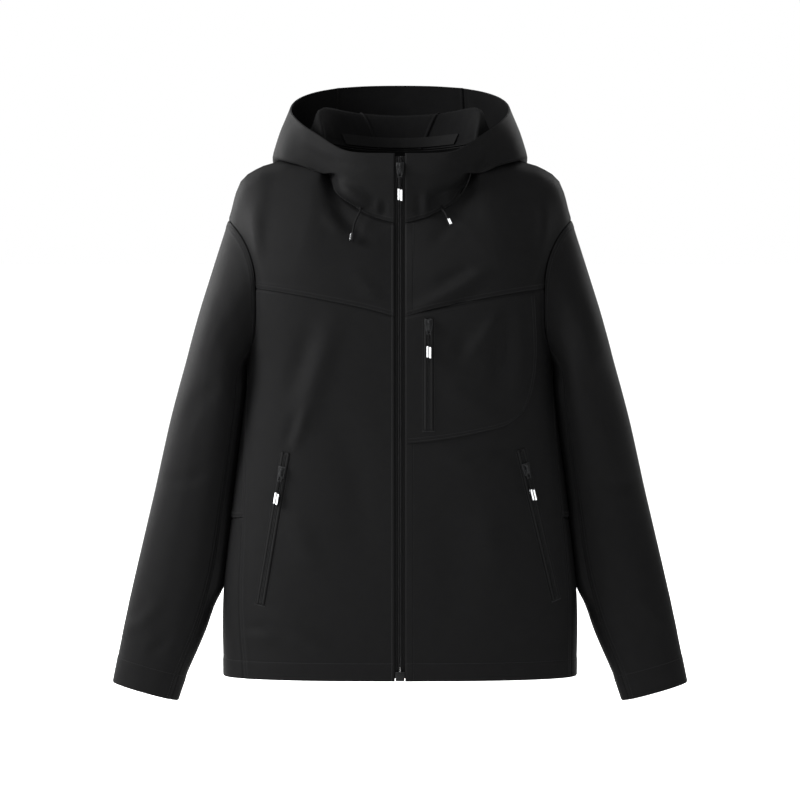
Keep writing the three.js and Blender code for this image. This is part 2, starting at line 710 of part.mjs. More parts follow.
// Zip pulls: a slider with a bridge, a metal tab through the bridge, and a corded grip on the tab
// Sizes are across (x), outwards from the slider's back, and up the zip from the slider's middle

const SLIDER_OUTLINE = [[-5.2, 8], [5.2, 8], [5.4, 3], [4, -8.5], [-4, -8.5], [-5.4, 3]];
const SLIDER_THICK = 2.4;
const BRIDGE_WIDTH = 2.6;
const BRIDGE_OUTLINE = [
  [2.2, 6.5], [5.2, 6.1], [6.4, 4.2], [6.4, -3.6], [5.2, -5.8], [2.2, -6.2],
  [2.2, -4.3], [4.4, -4.1], [5.1, -3], [5.1, 3.3], [4.4, 4.3], [2.2, 4.5],
];
const TAB_AXIS = { out: 3.8, up: -1.5 };
const TAB_THICK = 1.2;
const TAB = { half: 3.1, top: 0.7, bottom: -11.5, holeHalf: 1.75, holeTop: -0.7, holeBottom: -9.9 };
const GRIP_SECTIONS = [
  { up: -11.9, wide: 3.6, deep: 1.8 },
  { up: -25.4, wide: 3.6, deep: 1.8 },
  { up: -26.2, wide: 6.8, deep: 3.2 },
  { up: -28, wide: 7.8, deep: 4.2 },
  { up: -42, wide: 7.8, deep: 4.2 },
  { up: -44, wide: 6.2, deep: 3 },
];
const GRIP_CORNERS = 10;

// Height of the main slider's middle, and how far down their bands the other sliders are
const MAIN_SLIDER_Z = -5;
const CHEST_SLIDER_SHARE = 0.06;
const POCKET_SLIDER_SHARE = 0.13;

const shapeOf = (corners) => new THREE.Shape(corners.map(([x, y]) => new THREE.Vector2(x, y)));

function solidOf(geometry) {
  const plain = geometry.clone();
  plain.deleteAttribute('normal');
  plain.deleteAttribute('uv');
  const merged = mergeVertices(plain);
  return new wasm.Manifold(new wasm.Mesh({
    numProp: 3,
    vertProperties: new Float32Array(merged.attributes.position.array),
    triVerts: new Uint32Array(merged.getIndex().array),
  }));
}

function joined(a, b) {
  const mesh = solidOf(a).add(solidOf(b)).getMesh();
  const geometry = new THREE.BufferGeometry();
  geometry.setAttribute('position', new THREE.BufferAttribute(new Float32Array(mesh.vertProperties), 3));
  geometry.setIndex(Array.from(mesh.triVerts));
  return geometry;
}

// A plate drawn across and up, thick from near to far outwards
function plate(shape, near, far) {
  const geometry = new THREE.ExtrudeGeometry(shape, { depth: far - near, bevelEnabled: false });
  return geometry.rotateX(Math.PI / 2).translate(0, -near, 0);
}

function sliderGeometry() {
  const base = plate(shapeOf(SLIDER_OUTLINE), 0, SLIDER_THICK);
  const bridge = new THREE.ExtrudeGeometry(shapeOf(BRIDGE_OUTLINE), {
    depth: BRIDGE_WIDTH,
    bevelEnabled: false,
  });
  bridge.applyMatrix4(new THREE.Matrix4().makeBasis(
    new THREE.Vector3(0, -1, 0),
    new THREE.Vector3(0, 0, 1),
    new THREE.Vector3(-1, 0, 0),
  ));
  return joined(base, bridge.translate(BRIDGE_WIDTH / 2, 0, 0));
}

function tabGeometry() {
  const oblong = (half, top, bottom) => [[-half, bottom], [half, bottom], [half, top], [-half, top]];
  const shape = shapeOf(oblong(TAB.half, TAB.top, TAB.bottom));
  shape.holes.push(shapeOf(oblong(TAB.holeHalf, TAB.holeTop, TAB.holeBottom)));
  return plate(shape, -TAB_THICK / 2, TAB_THICK / 2);
}

function gripGeometry() {
  const turns = spread(0, 2 * Math.PI, GRIP_CORNERS).slice(1);
  return bar([...GRIP_SECTIONS].reverse().map(({ up, wide, deep }) => turns.map(
    (turn) => new THREE.Vector3(wide / 2 * Math.cos(turn), deep / 2 * Math.sin(turn), up),
  )));
}

// Places a pull with its slider's back at a point, across the zip and up it
function addPull(name, place, across, up) {
  const pull = new THREE.Group();
  const inward = new THREE.Vector3().crossVectors(up, across);
  pull.setRotationFromMatrix(new THREE.Matrix4().makeBasis(across, inward, up));
  pull.position.copy(place);
  add(name.replace('*', 'slider'), sliderGeometry(), METAL, pull);
  const hinged = new THREE.Group();
  hinged.position.set(0, -TAB_AXIS.out, TAB_AXIS.up);
  add(name.replace('*', 'tab'), tabGeometry(), METAL, hinged);
  add(name.replace('*', 'grip'), gripGeometry(), GRIP, hinged);
  pull.add(hinged);
  jacket.add(pull);
}

// What lies on the fronts

// Point of the lower front at a place across and up
function frontAt(x, z) {
  return level('front', z, turnAtWidth(z, x));
}

// Chest pocket: a panel on the wearer's left front, from the zip to its rounded outer corner
const CHEST_INNER = 8.6;
const CHEST_OUTER = 186;
const CHEST_BELOW_SEAM = 3;
const CHEST_LIFT = 0.7;
const CHEST_THICK = 1.3;
const CHEST_BOTTOM = [
  { at: 0, x: 8.6, z: -384 },
  { at: 0.35, x: 62, z: -378 },
  { at: 0.65, x: 115, z: -368 },
  { at: 0.85, x: 145, z: -360 },
  { at: 1, x: 166, z: -346 },
];
const CHEST_SIDE = [
  { at: 0, x: 166, z: -346 },
  { at: 0.15, x: 179, z: -324 },
  { at: 0.35, x: 187, z: -288 },
  { at: 0.6, x: 189, z: -246 },
  { at: 1, x: 186, z: -177.5 },
];

// Height of the yoke seam at a place across
const YOKE_SEAM = { half: 203, rise: 0.85 };
const yokeSeamZ = (x) => mix(YOKE_CENTRE_Z, YOKE_SIDE_Z, (x / YOKE_SEAM.half) ** YOKE_SEAM.rise);

// u runs from the zip to the outer edge and v from the bottom edge to the top, between the four edges
function chestSurface(u, v) {
  const topAt = (x) => ({ x, z: yokeSeamZ(x) - CHEST_BELOW_SEAM });
  const top = topAt(mix(CHEST_INNER, CHEST_OUTER, u));
  const innerBottom = CHEST_BOTTOM[0];
  const innerTop = topAt(CHEST_INNER);
  const outerBottom = CHEST_SIDE[0];
  const outerTop = CHEST_SIDE.at(-1);
  const inside = (key) => {
    const bottom = read(CHEST_BOTTOM, 'at', u, key);
    const outer = read(CHEST_SIDE, 'at', v, key);
    const inner = mix(innerBottom[key], innerTop[key], v);
    const low = mix(innerBottom[key], outerBottom[key], u);
    const high = mix(innerTop[key], outerTop[key], u);
    return mix(bottom, top[key], v) + mix(inner, outer, u) - mix(low, high, v);
  };
  return frontAt(inside('x'), inside('z'));
}

// Zips laid on the cloth: a band between two places, with its slider near the upper end
const BAND_WIDTH = 12.4;
const BAND_THICK = 1;
const CHEST_ZIP = { top: [39.5, -211], bottom: [39.5, -366] };
const POCKET_ZIP = {
  left: { top: [167, -393], bottom: [217, -604] },
  right: { top: [158, -397], bottom: [194, -610] },
};

const BAND_SLOPE_STEP = 0.1;

// flip puts the band on the wearer's right
function addBand(name, { top, bottom }, lift, sliderShare, flip) {
  const along = new THREE.Vector2(top[0] - bottom[0], top[1] - bottom[1]).normalize();
  const surface = (u, v) => {
    const offset = (u - 0.5) * BAND_WIDTH;
    const x = mix(bottom[0], top[0], v) + along.y * offset;
    const z = mix(bottom[1], top[1], v) - along.x * offset;
    return frontAt(x, z);
  };
  const band = wall(surface, [0, 0.5, 1], spread(0, 1, 10), {
    thick: () => BAND_THICK,
    lift: lift + BAND_THICK,
    trim: { first: 0, last: 0, top: 0, bottom: 0 },
  });
  add(name.replace('*', 'zip'), flip ? mirrored(band) : band, TAPE);
  const v = 1 - sliderShare;
  const across = slopeOf(surface, 0, 0.5, v, BAND_SLOPE_STEP, 0);
  const up = slopeOf(surface, 0, 0.5, v, 0, BAND_SLOPE_STEP);
  across.addScaledVector(up, -across.dot(up)).normalize();
  const out = new THREE.Vector3().crossVectors(across, up);
  const point = surface(0.5, v).addScaledVector(out, lift + BAND_THICK + SEAM_GAP);
  if (flip) {
    point.x *= -1;
    up.x *= -1;
    across.set(across.x, -across.y, -across.z);
  }
  addPull(name, point, across, up);
}

function addPockets() {
  const across = spread(0, 1, 12).map((t) => Math.sin(t * Math.PI / 2));
  const chest = wall(chestSurface, across, spread(0, 1, 8), {
    thick: () => CHEST_THICK,
    lift: CHEST_LIFT + CHEST_THICK,
    trim: { first: 0, last: 0, top: 0, bottom: 0 },
  });
  add('chest_pocket', chest, SOFTSHELL);
  addBand('chest_*', CHEST_ZIP, CHEST_LIFT + CHEST_THICK + SEAM_GAP, CHEST_SLIDER_SHARE, false);
  addBand('pocket_*_left', POCKET_ZIP.left, CHEST_LIFT, POCKET_SLIDER_SHARE, false);
  addBand('pocket_*_right', POCKET_ZIP.right, CHEST_LIFT, POCKET_SLIDER_SHARE, true);
}

// Drawcords: they leave the hood just above the neck seam and hang free, each with a moulded tip
const CORD_RADIUS = 1.5;
const CORD_TIP_RADIUS = 2.5;
const CORD_TIP_LENGTH = 12;
const CORD_SIDES = 8;
const CORD_STEPS = 10;
const CORD_RIGHT = [
  [-54, -73.9, -58.4],
  [-54.4, -81, -62],
  [-59, -85.5, -72],
  [-63, -88.5, -82],
  [-65, -92, -93],
];
const CORD_LEFT = [
  [58, -71.9, -57.8],
  [58.4, -79, -62],
  [60.5, -88, -64],
  [62.5, -96, -67],
  [65.8, -101, -74],
];

const circle = (radius) => shapeOf(spread(0, 2 * Math.PI, CORD_SIDES)
  .slice(1)
  .map((angle) => [radius * Math.cos(angle), radius * Math.sin(angle)]));

function addCord(hand, route) {
  const points = route.map(([x, y, z]) => new THREE.Vector3(x, y, z));
  const path = new THREE.CatmullRomCurve3(points);
  add(`cord_${hand}`, new THREE.ExtrudeGeometry(circle(CORD_RADIUS), {
    steps: CORD_STEPS,
    extrudePath: path,
    bevelEnabled: false,
  }), CORD);
  const end = path.getTangentAt(1);
  const start = points.at(-1).clone().addScaledVector(end, SEAM_GAP);
  const stop = start.clone().addScaledVector(end, CORD_TIP_LENGTH);
  add(`cord_tip_${hand}`, new THREE.ExtrudeGeometry(circle(CORD_TIP_RADIUS), {
    steps: 1,
    extrudePath: new THREE.LineCurve3(start, stop),
    bevelEnabled: false,
  }), GRIP);
}

addBody();
addSleeves();
addHood();
addNeckTape();
addMainZip();
addPockets();
addCord('left', CORD_LEFT);
addCord('right', CORD_RIGHT);

export default jacket;
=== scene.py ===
import json
import math

import bmesh
import bpy
import numpy as np
from mathutils import Matrix, Vector
from mathutils.bvhtree import BVHTree


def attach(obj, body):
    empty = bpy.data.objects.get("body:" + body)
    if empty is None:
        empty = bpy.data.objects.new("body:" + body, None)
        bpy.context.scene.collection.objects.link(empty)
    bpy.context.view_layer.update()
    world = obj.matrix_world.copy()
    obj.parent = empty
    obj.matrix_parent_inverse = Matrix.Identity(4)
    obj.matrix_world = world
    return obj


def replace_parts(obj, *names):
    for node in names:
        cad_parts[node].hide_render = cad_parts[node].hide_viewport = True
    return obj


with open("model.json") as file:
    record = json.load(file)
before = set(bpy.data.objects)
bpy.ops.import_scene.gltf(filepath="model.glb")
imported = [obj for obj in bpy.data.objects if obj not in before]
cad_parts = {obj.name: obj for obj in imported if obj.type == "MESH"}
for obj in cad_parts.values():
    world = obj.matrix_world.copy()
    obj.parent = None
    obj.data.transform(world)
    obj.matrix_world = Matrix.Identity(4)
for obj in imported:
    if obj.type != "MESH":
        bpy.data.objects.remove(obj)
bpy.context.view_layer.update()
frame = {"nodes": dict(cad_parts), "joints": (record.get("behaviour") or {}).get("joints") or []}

# Camera: a long lens level with the middle of the jacket and tilted down a little, which frames
# 1.12 m of it from the front.
VIEW_WIDTH = 1.12
VIEW_MIDDLE = Vector((0, 0, -0.329))
VIEW_TILT = math.radians(3)
LENS = 200
SENSOR = 36

away = Vector((0, -math.cos(VIEW_TILT), math.sin(VIEW_TILT))) * (VIEW_WIDTH * LENS / SENSOR)
bpy.ops.object.camera_add(location=VIEW_MIDDLE + away, rotation=(math.pi / 2 - VIEW_TILT, 0, 0))
camera = bpy.context.object
camera.data.lens = LENS
camera.data.clip_end = 60
bpy.context.scene.camera = camera

# Studio: a pale floor that glows a little, an even white surround, a large soft light on the
# viewer's left and weaker ones in front and behind.
FLOOR_Z = -0.80
LIGHTS = [
    {"name": "key", "place": (-2.7, -0.8, 1.1), "size": 1.3, "watts": 260},
    {"name": "front", "place": (-1.2, -2.8, 1.6), "size": 1.0, "watts": 45},
    {"name": "behind_left", "place": (-2.2, 1.8, 0.6), "size": 1.3, "watts": 90},
    {"name": "behind_right", "place": (1.6, 2.4, 0.9), "size": 1.0, "watts": 30},
]

bpy.ops.mesh.primitive_plane_add(size=60, location=(0, 0, FLOOR_Z))
floor = bpy.context.object
floor.name = "floor"
floor_paint = bpy.data.materials.new("pale_floor")
floor_paint.use_nodes = True
floor_shader = floor_paint.node_tree.nodes["Principled BSDF"]
floor_shader.inputs["Base Color"].default_value = (0.9, 0.9, 0.9, 1)
floor_shader.inputs["Roughness"].default_value = 0.9
floor_shader.inputs["Emission Color"].default_value = (1, 1, 1, 1)
floor_shader.inputs["Emission Strength"].default_value = 0.22
floor.data.materials.append(floor_paint)
world = bpy.data.worlds.new("studio")
world.use_nodes = True
world.node_tree.nodes["Background"].inputs["Color"].default_value = (1, 1, 1, 1)
world.node_tree.nodes["Background"].inputs["Strength"].default_value = 1.0
bpy.context.scene.world = world
bpy.context.scene.view_settings.view_transform = "Standard"
for light in LIGHTS:
    bpy.ops.object.light_add(type="AREA", location=light["place"])
    lamp = bpy.context.object
    lamp.name = light["name"]
    lamp.data.shape = "DISK"
    lamp.data.size = light["size"]
    lamp.data.energy = light["watts"]
    aim = Vector((0, 0, -0.3)) - Vector(light["place"])
    lamp.rotation_euler = aim.to_track_quat("-Z", "Y").to_euler()

# Softshell cloth: a close black woven face bonded to a thin brushed back. Every panel is a thin
# shell on the outer face of its solid, with its creases, its seams and its sewing.
CLOTH = 0.0014
WALLS = (0.0020, 0.0028, 0.0036, 0.0013, 0.0010, 0.0008)
SAME_POINT = 1e-5
SAME_LENGTH = 2e-7
STEP = 0.005
EDGE_STEPS = [0, 0.0006, 0.0012, 0.0019, 0.0028, 0.004, 0.0055, 0.0066, 0.0076, 0.0088, 0.0108]
SEAM_ROWS = (0.0019, 0.0066)
FACE_COLOUR = (0.0021, 0.0021, 0.0022, 1)
BACK_COLOUR = (0.0024, 0.0024, 0.0025, 1)


def material(name, colour, roughness, specular):
    made = bpy.data.materials.new(name)
    made.use_nodes = True
    shader = made.node_tree.nodes["Principled BSDF"]
    shader.inputs["Base Color"].default_value = colour
    shader.inputs["Roughness"].default_value = roughness
    shader.inputs["Specular IOR Level"].default_value = specular
    return made


def node_of(made, kind, **settings):
    node = made.node_tree.nodes.new(kind)
    for key, value in settings.items():
        setattr(node, key, value)
    return node


def toned(made, place, scale, colour, spread):
    """Gives a material a soft uneven tone on either side of its colour."""
    links = made.node_tree.links
    mottle = node_of(made, "ShaderNodeTexNoise")
    mottle.inputs["Scale"].default_value = scale
    mottle.inputs["Detail"].default_value = 6
    mottle.inputs["Roughness"].default_value = 0.7
    tone = node_of(made, "ShaderNodeValToRGB")
    for stop, where, share in zip(tone.color_ramp.elements, (0.3, 0.7), (1 - spread, 1 + spread)):
        stop.position = where
        stop.color = tuple(min(1, c * share) for c in colour[:3]) + (1,)
    links.new(place, mottle.inputs["Vector"])
    links.new(mottle.outputs["Fac"], tone.inputs["Fac"])
    links.new(tone.outputs["Color"], made.node_tree.nodes["Principled BSDF"].inputs["Base Color"])


def woven(name, colour, roughness, specular, thread, depth, turn=0):
    """A cloth with its weave along the UV map, whose unit is a metre, and an uneven tone."""
    made = material(name, colour, roughness, specular)
    links = made.node_tree.links
    cut = node_of(made, "ShaderNodeUVMap", uv_map="cut")
    place = node_of(made, "ShaderNodeMapping")
    place.inputs["Rotation"].default_value = (0, 0, turn)
    links.new(cut.outputs["UV"], place.inputs["Vector"])
    bump = node_of(made, "ShaderNodeBump")
    bump.inputs["Strength"].default_value = 0.6
    bump.inputs["Distance"].default_value = depth
    height = node_of(made, "ShaderNodeMath", operation="MULTIPLY")
    for i, axis in enumerate(("X", "Y")):
        wave = node_of(made, "ShaderNodeTexWave", wave_type="BANDS", bands_direction=axis)
        wave.inputs["Scale"].default_value = 1 / thread / 2
        wave.inputs["Distortion"].default_value = 0.4
        wave.inputs["Detail"].default_value = 0
        links.new(place.outputs["Vector"], wave.inputs["Vector"])
        links.new(wave.outputs["Fac"], height.inputs[i])
    links.new(height.outputs[0], bump.inputs["Height"])
    links.new(bump.outputs["Normal"], made.node_tree.nodes["Principled BSDF"].inputs["Normal"])
    toned(made, cut.outputs["UV"], 55, colour, 0.15)
    return made


def uneven(name, colour, roughness, specular, scale, spread):
    """A material whose tone varies a little through the piece."""
    made = material(name, colour, roughness, specular)
    toned(made, node_of(made, "ShaderNodeTexCoord").outputs["Object"], scale, colour, spread)
    return made


softshell = woven("softshell_face", FACE_COLOUR, 0.68, 0.055, 0.0009, 0.00012)
brushed_back = woven("softshell_back", BACK_COLOUR, 0.95, 0.03, 0.0016, 0.0002)


def unit(vectors):
    return vectors / np.linalg.norm(vectors, axis=-1, keepdims=True)


def run_of(line):
    """How far along a line each of its points is."""
    return np.concatenate([[0], np.cumsum(np.linalg.norm(np.diff(line, axis=0), axis=1))])


def quads_over(n, m, turned=False):
    """The faces of a grid of points, each as the numbers of its four corners."""
    index = np.arange(n * m).reshape(n, m)
    corners = [index[:-1, :-1], index[1:, :-1], index[1:, 1:], index[:-1, 1:]]
    if turned:
        corners = [corners[k] for k in (0, 3, 2, 1)]
    return np.stack(corners, axis=-1).reshape(-1, 4)


def piece_of(name, points, faces, paints, flat=None):
    """Makes a piece from its points and faces, with a UV map in metres where it has one."""
    mesh = bpy.data.meshes.new(name)
    mesh.from_pydata(points.reshape(-1, 3).tolist(), [], faces)
    if flat is not None:
        mesh.uv_layers.new(name="cut").data.foreach_set("uv", flat.ravel())
    mesh.shade_smooth()
    for paint in paints:
        mesh.materials.append(paint)
    piece = bpy.data.objects.new(name, mesh)
    bpy.context.collection.objects.link(piece)
    return piece


def shell(name, points, quads, flat, paints, thick):
    """Makes a thin wall behind a grid of points, with the last of its materials on its back."""
    piece = piece_of(name, points, quads.tolist(), paints, flat.reshape(-1, 2)[quads.ravel()])
    wall = piece.modifiers.new("wall", "SOLIDIFY")
    wall.thickness = thick
    wall.offset = -1
    wall.material_offset = len(paints) - 1
    bpy.context.view_layer.objects.active = piece
    bpy.ops.object.modifier_apply(modifier=wall.name)
    return piece


def fitted(piece, body, node=None):
    """Gives a piece its body and the solid whose place it takes."""
    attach(piece, body)
    if node:
        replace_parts(piece, node)
    return piece


def boundary_from(corner, edge):
    """The points along the edge of a sheet, from one corner to the next."""
    run = [corner, edge.other_vert(corner)]
    while len(run[-1].link_faces) > 2:
        edge = next(e for e in run[-1].link_edges if e.is_boundary and e is not edge)
        run.append(edge.other_vert(run[-1]))
    return run


def skin_of(node, corner, across, faces_body=False):
    """The outer face of a panel's solid as a grid of points. The first index runs from the corner
    that is nearest to one place to the corner that is nearest to another. A panel that faces the
    body has its outer face nearer to the middle."""
    solid = bmesh.new()
    solid.from_mesh(frame["nodes"][node].data)
    bmesh.ops.remove_doubles(solid, verts=solid.verts, dist=SAME_POINT)
    through = {
        e for e in solid.edges if any(abs(e.calc_length() - wall) < SAME_LENGTH for wall in WALLS)
    }
    rim = [f for f in solid.faces if through & set(f.edges)]
    bmesh.ops.delete(solid, geom=rim, context="FACES")
    left, sheets = set(solid.verts), []
    while left:
        sheet = [left.pop()]
        for vert in sheet:
            beside = {e.other_vert(vert) for e in vert.link_edges} & left
            left -= beside
            sheet.extend(beside)
        sheets.append(sheet)

    def reach(sheet):
        points = np.array([v.co for v in sheet])
        return np.linalg.norm(np.ptp(points, axis=0)) + np.hypot(points[:, 0], points[:, 1]).mean()

    outer = (min if faces_body else max)((s for s in sheets if len(s) > 3), key=reach)
    corners = [v for v in outer if len(v.link_faces) <= 2]
    start = min(corners, key=lambda v: (v.co - Vector(corner)).length)
    runs = [boundary_from(start, e) for e in start.link_edges if e.is_boundary]
    runs.sort(key=lambda run: (run[-1].co - Vector(across)).length)
    first, second = runs
    beside = {v: {e.other_vert(v) for e in v.link_edges} for v in outer}
    grid = [[v] for v in first]
    grid[0] = second
    for i in range(1, len(first)):
        for j in range(1, len(second)):
            shared = beside[grid[i][j - 1]] & beside[grid[i - 1][j]] - {grid[i - 1][j - 1]}
            grid[i].append(shared.pop())
    points = np.array([[v.co[:] for v in row] for row in grid])
    facing = np.cross(points[1, 0] - points[0, 0], points[0, 1] - points[0, 0])
    normal = np.sum([f.normal[:] for f in start.link_faces], axis=0)
    solid.free()
    return points, 1 if facing @ normal > 0 else -1


def knots_of(points):
    steps = np.linalg.norm(np.diff(points, axis=0), axis=2).mean(axis=1)
    return np.concatenate([[0], np.cumsum(steps)])


def smooth_rows(rows, knots, places):
    """Rows of points read at other places, on smooth curves through them."""
    i = np.clip(np.searchsorted(knots, places, side="right") - 1, 0, len(knots) - 2)
    before, after = np.maximum(i - 1, 0), np.minimum(i + 2, len(knots) - 1)
    span = knots[i + 1] - knots[i]

    def column(values):
        return values.reshape((-1,) + (1,) * (rows.ndim - 1))

    slope_a = (rows[i + 1] - rows[before]) * column(span / (knots[i + 1] - knots[before]))
    slope_b = (rows[after] - rows[i]) * column(span / (knots[after] - knots[i]))
    t = column((places - knots[i]) / span)
    start = (2 * t**3 - 3 * t**2 + 1) * rows[i] + (t**3 - 2 * t**2 + t) * slope_a
    return start + (3 * t**2 - 2 * t**3) * rows[i + 1] + (t**3 - t**2) * slope_b


def spread_places(length, step, extra=()):
    """Places from edge to edge, close together near the edges and near each extra place."""
    near = [d for d in EDGE_STEPS if d < length / 2]
    count = max(2, round((length - 2 * near[-1]) / step) + 1)
    middle = np.linspace(near[-1], length - near[-1], count)
    beside = [place + d for place in extra for d in (-0.0022, -0.0011, 0, 0.0011, 0.0022)]
    every = np.concatenate([near, middle, [length - d for d in near], beside])
    every = np.unique(np.round(every, 5))
    return every[np.concatenate([[True], np.diff(every) > 0.0004])]


def soft(t):
    t = np.clip(t, 0, 1)
    return t * t * (3 - 2 * t)


def arcs_of(points, axis):
    steps = np.linalg.norm(np.diff(points, axis=axis), axis=2)
    start = np.zeros_like(steps[:1] if axis == 0 else steps[:, :1])
    return np.concatenate([start, np.cumsum(steps, axis=axis)], axis=axis)


def normals_of(points, facing):
    across = np.gradient(points, axis=0)
    up = np.gradient(points, axis=1)
    normals = np.cross(across, up) * facing
    return normals / np.maximum(np.linalg.norm(normals, axis=2, keepdims=True), 1e-12)


def furrow(distance, place, depth=0.0005, width=0.0008):
    return -depth * np.exp(-(((distance - place) / width) ** 2))


SEAM_LIFT = 0.0009
SEAM_LIFTED = (0.0078, 0.0118)
SEAM_SUNK = 0.0006
SEAM_SUNK_TO = 0.012


def lapped(distance):
    """A seam's upper side: its allowance lifts it, and two rows of stitches press it down."""
    start, end = SEAM_LIFTED
    lift = SEAM_LIFT * soft(distance / 0.0012) * (1 - soft((distance - start) / (end - start)))
    rows = sum(furrow(distance, row) for row in SEAM_ROWS)
    return lift + rows - SEAM_SUNK * (1 - soft(distance / SEAM_SUNK_TO))


def under(distance):
    """A seam's lower side, drawn in where it passes under the other cloth."""
    return -0.0012 * (1 - soft(distance / 0.0032))


def rounded(distance):
    """A folded free edge."""
    return -0.0009 * (1 - soft(distance / 0.0024)) ** 2


def turned_up(fold):
    """A folded free edge whose fold is sewn down at a distance."""

    def profile(distance):
        folded = 0.0005 * (1 - soft((distance - fold + 0.001) / 0.003))
        return rounded(distance) + furrow(distance, fold) + folded

    return profile


ALLOWANCE = 0.0022
CREASE_DEPTH = 1.5
CREASE_ENDS = 0.03
ALL = slice(None)
EDGES = {
    "first": ((0,), (1,)),
    "last": ((-1,), (-2,)),
    "bottom": ((ALL, 0), (ALL, 1)),
    "top": ((ALL, -1), (ALL, -2)),
}


def allowed(edge, beside):
    """A seam's lower edge goes on a little under the cloth that is sewn over it."""
    return edge + ALLOWANCE * unit(edge - beside)


def crease_at(depth, width, *line, side="front"):
    """A soft ridge, or a trough where its depth is below zero, along a line in x and z."""
    return {"depth": depth, "width": width, "line": line, "side": side}


def crease_behind(depth, width, *line):
    return crease_at(depth, width, *line, side="back")


def hollow_along(points, normals, crease):
    """The height of one crease, on the side of the jacket that it is on."""
    line = np.array(crease["line"], float)
    place = points[..., [0, 2]]
    nearest = np.full(place.shape[:2], np.inf)
    share = np.zeros(place.shape[:2])
    lengths = run_of(line)
    for i in range(len(line) - 1):
        step = line[i + 1] - line[i]
        t = np.clip(((place - line[i]) @ step) / (step @ step), 0, 1)
        far = np.linalg.norm(place - line[i] - t[..., None] * step, axis=2)
        closer = far < nearest
        nearest = np.where(closer, far, nearest)
        share = np.where(closer, (lengths[i] + t * (lengths[i + 1] - lengths[i])) / lengths[-1], share)
    facing = normals[..., 1] * (-1 if crease["side"] == "front" else 1)
    fade = np.sin(np.pi * (share * (1 - 2 * CREASE_ENDS) + CREASE_ENDS)) ** 0.6
    height = np.exp(-((nearest / crease["width"]) ** 2)) * fade * soft(facing * 1.6 + 0.2)
    return CREASE_DEPTH * crease["depth"] * height


panels = {}


def cloth(node, corner, across, edges, creases=(), extra=((), ()), step=STEP, thick=CLOTH, more=None,
          paint=(softshell, brushed_back), faces_body=False):
    """Makes a panel: a thin shell on its solid's outer face, with its edges, creases and UV map."""
    coarse, facing = skin_of(node, corner, across, faces_body)
    knots_u = knots_of(coarse)
    knots_v = knots_of(coarse.transpose(1, 0, 2))
    places_u = spread_places(knots_u[-1], step, extra[0])
    places_v = spread_places(knots_v[-1], step, extra[1])
    points = smooth_rows(coarse, knots_u, places_u)
    points = smooth_rows(points.transpose(1, 0, 2), knots_v, places_v).transpose(1, 0, 2)
    normals = normals_of(points, facing)
    along_u, along_v = arcs_of(points, 0), arcs_of(points, 1)
    distance = {
        "first": along_u,
        "last": along_u[-1:] - along_u,
        "bottom": along_v,
        "top": along_v[:, -1:] - along_v,
    }
    height = np.zeros(points.shape[:2])
    for edge, profile in edges.items():
        height += profile(distance[edge])
    for crease in creases:
        height += hollow_along(points, normals, crease)
    if more:
        height += more(points, normals, distance)
    points = points + normals * height[..., None]
    n, m = points.shape[:2]
    for edge, (at, beside) in EDGES.items():
        if edges.get(edge) is under:
            points[at] = allowed(points[at], points[beside])
    quads = quads_over(*points.shape[:2])
    if facing < 0:
        quads = quads[:, ::-1]
    flat = np.stack(np.meshgrid(places_u, places_v, indexing="ij"), axis=-1)
    piece = fitted(shell(node + "_cloth", points, quads, flat, paint, thick), "jacket", node)
    panels[node] = {
        "points": points,
        "normals": normals_of(points, facing),
        "distance": distance,
        "tree": BVHTree.FromPolygons(points.reshape(-1, 3).tolist(), quads.tolist()),
    }
    return piece


def side_of(hand):
    return 1 if hand == "left" else -1


# Fronts: one cut panel each side, from the hem to the yoke seam and from the zip to the side seam.
# The hem is turned up 25 mm and sewn, and the edge at the zip is folded and topstitched.
HEM_FOLD = 0.025
EDGE_STITCH = {"left": 0.0115, "right": 0.0045}
FRONT_CREASES = {
    "right": [
        crease_at(0.0035, 0.017, (-0.094, -0.216), (-0.116, -0.290), (-0.141, -0.372)),
        crease_at(-0.0022, 0.015, (-0.122, -0.225), (-0.150, -0.318)),
        crease_at(0.0022, 0.007, (-0.129, -0.335), (-0.147, -0.392)),
        crease_at(-0.0020, 0.008, (-0.140, -0.338), (-0.158, -0.388)),
        crease_at(0.0014, 0.006, (-0.216, -0.652), (-0.178, -0.660)),
        crease_at(-0.0012, 0.006, (-0.212, -0.640), (-0.186, -0.643)),
        crease_at(0.0016, 0.012, (-0.205, -0.617), (-0.150, -0.640), (-0.100, -0.676)),
        crease_at(-0.0016, 0.026, (-0.100, -0.330), (-0.060, -0.420), (-0.048, -0.540)),
        crease_at(0.0016, 0.018, (-0.150, -0.480), (-0.120, -0.560)),
    ],
    "left": [
        crease_at(0.0014, 0.010, (0.060, -0.400), (0.104, -0.418), (0.150, -0.405)),
        crease_at(-0.0016, 0.007, (0.128, -0.396), (0.158, -0.392)),
        crease_at(0.0012, 0.010, (0.215, -0.612), (0.182, -0.642), (0.150, -0.662)),
        crease_at(-0.0016, 0.028, (0.060, -0.460), (0.078, -0.560), (0.070, -0.650)),
        crease_at(0.0015, 0.018, (0.118, -0.470), (0.132, -0.560)),
    ],
}
for hand in ("left", "right"):
    s = side_of(hand)
    inset = EDGE_STITCH[hand]
    cloth(
        f"front_{hand}",
        corner=(s * 0.007, -0.088, -0.715),
        across=(s * 0.24, -0.04, -0.715),
        edges={"first": turned_up(inset), "last": lapped, "bottom": turned_up(HEM_FOLD), "top": under},
        creases=FRONT_CREASES[hand],
        extra=((inset,), (HEM_FOLD,)),
    )

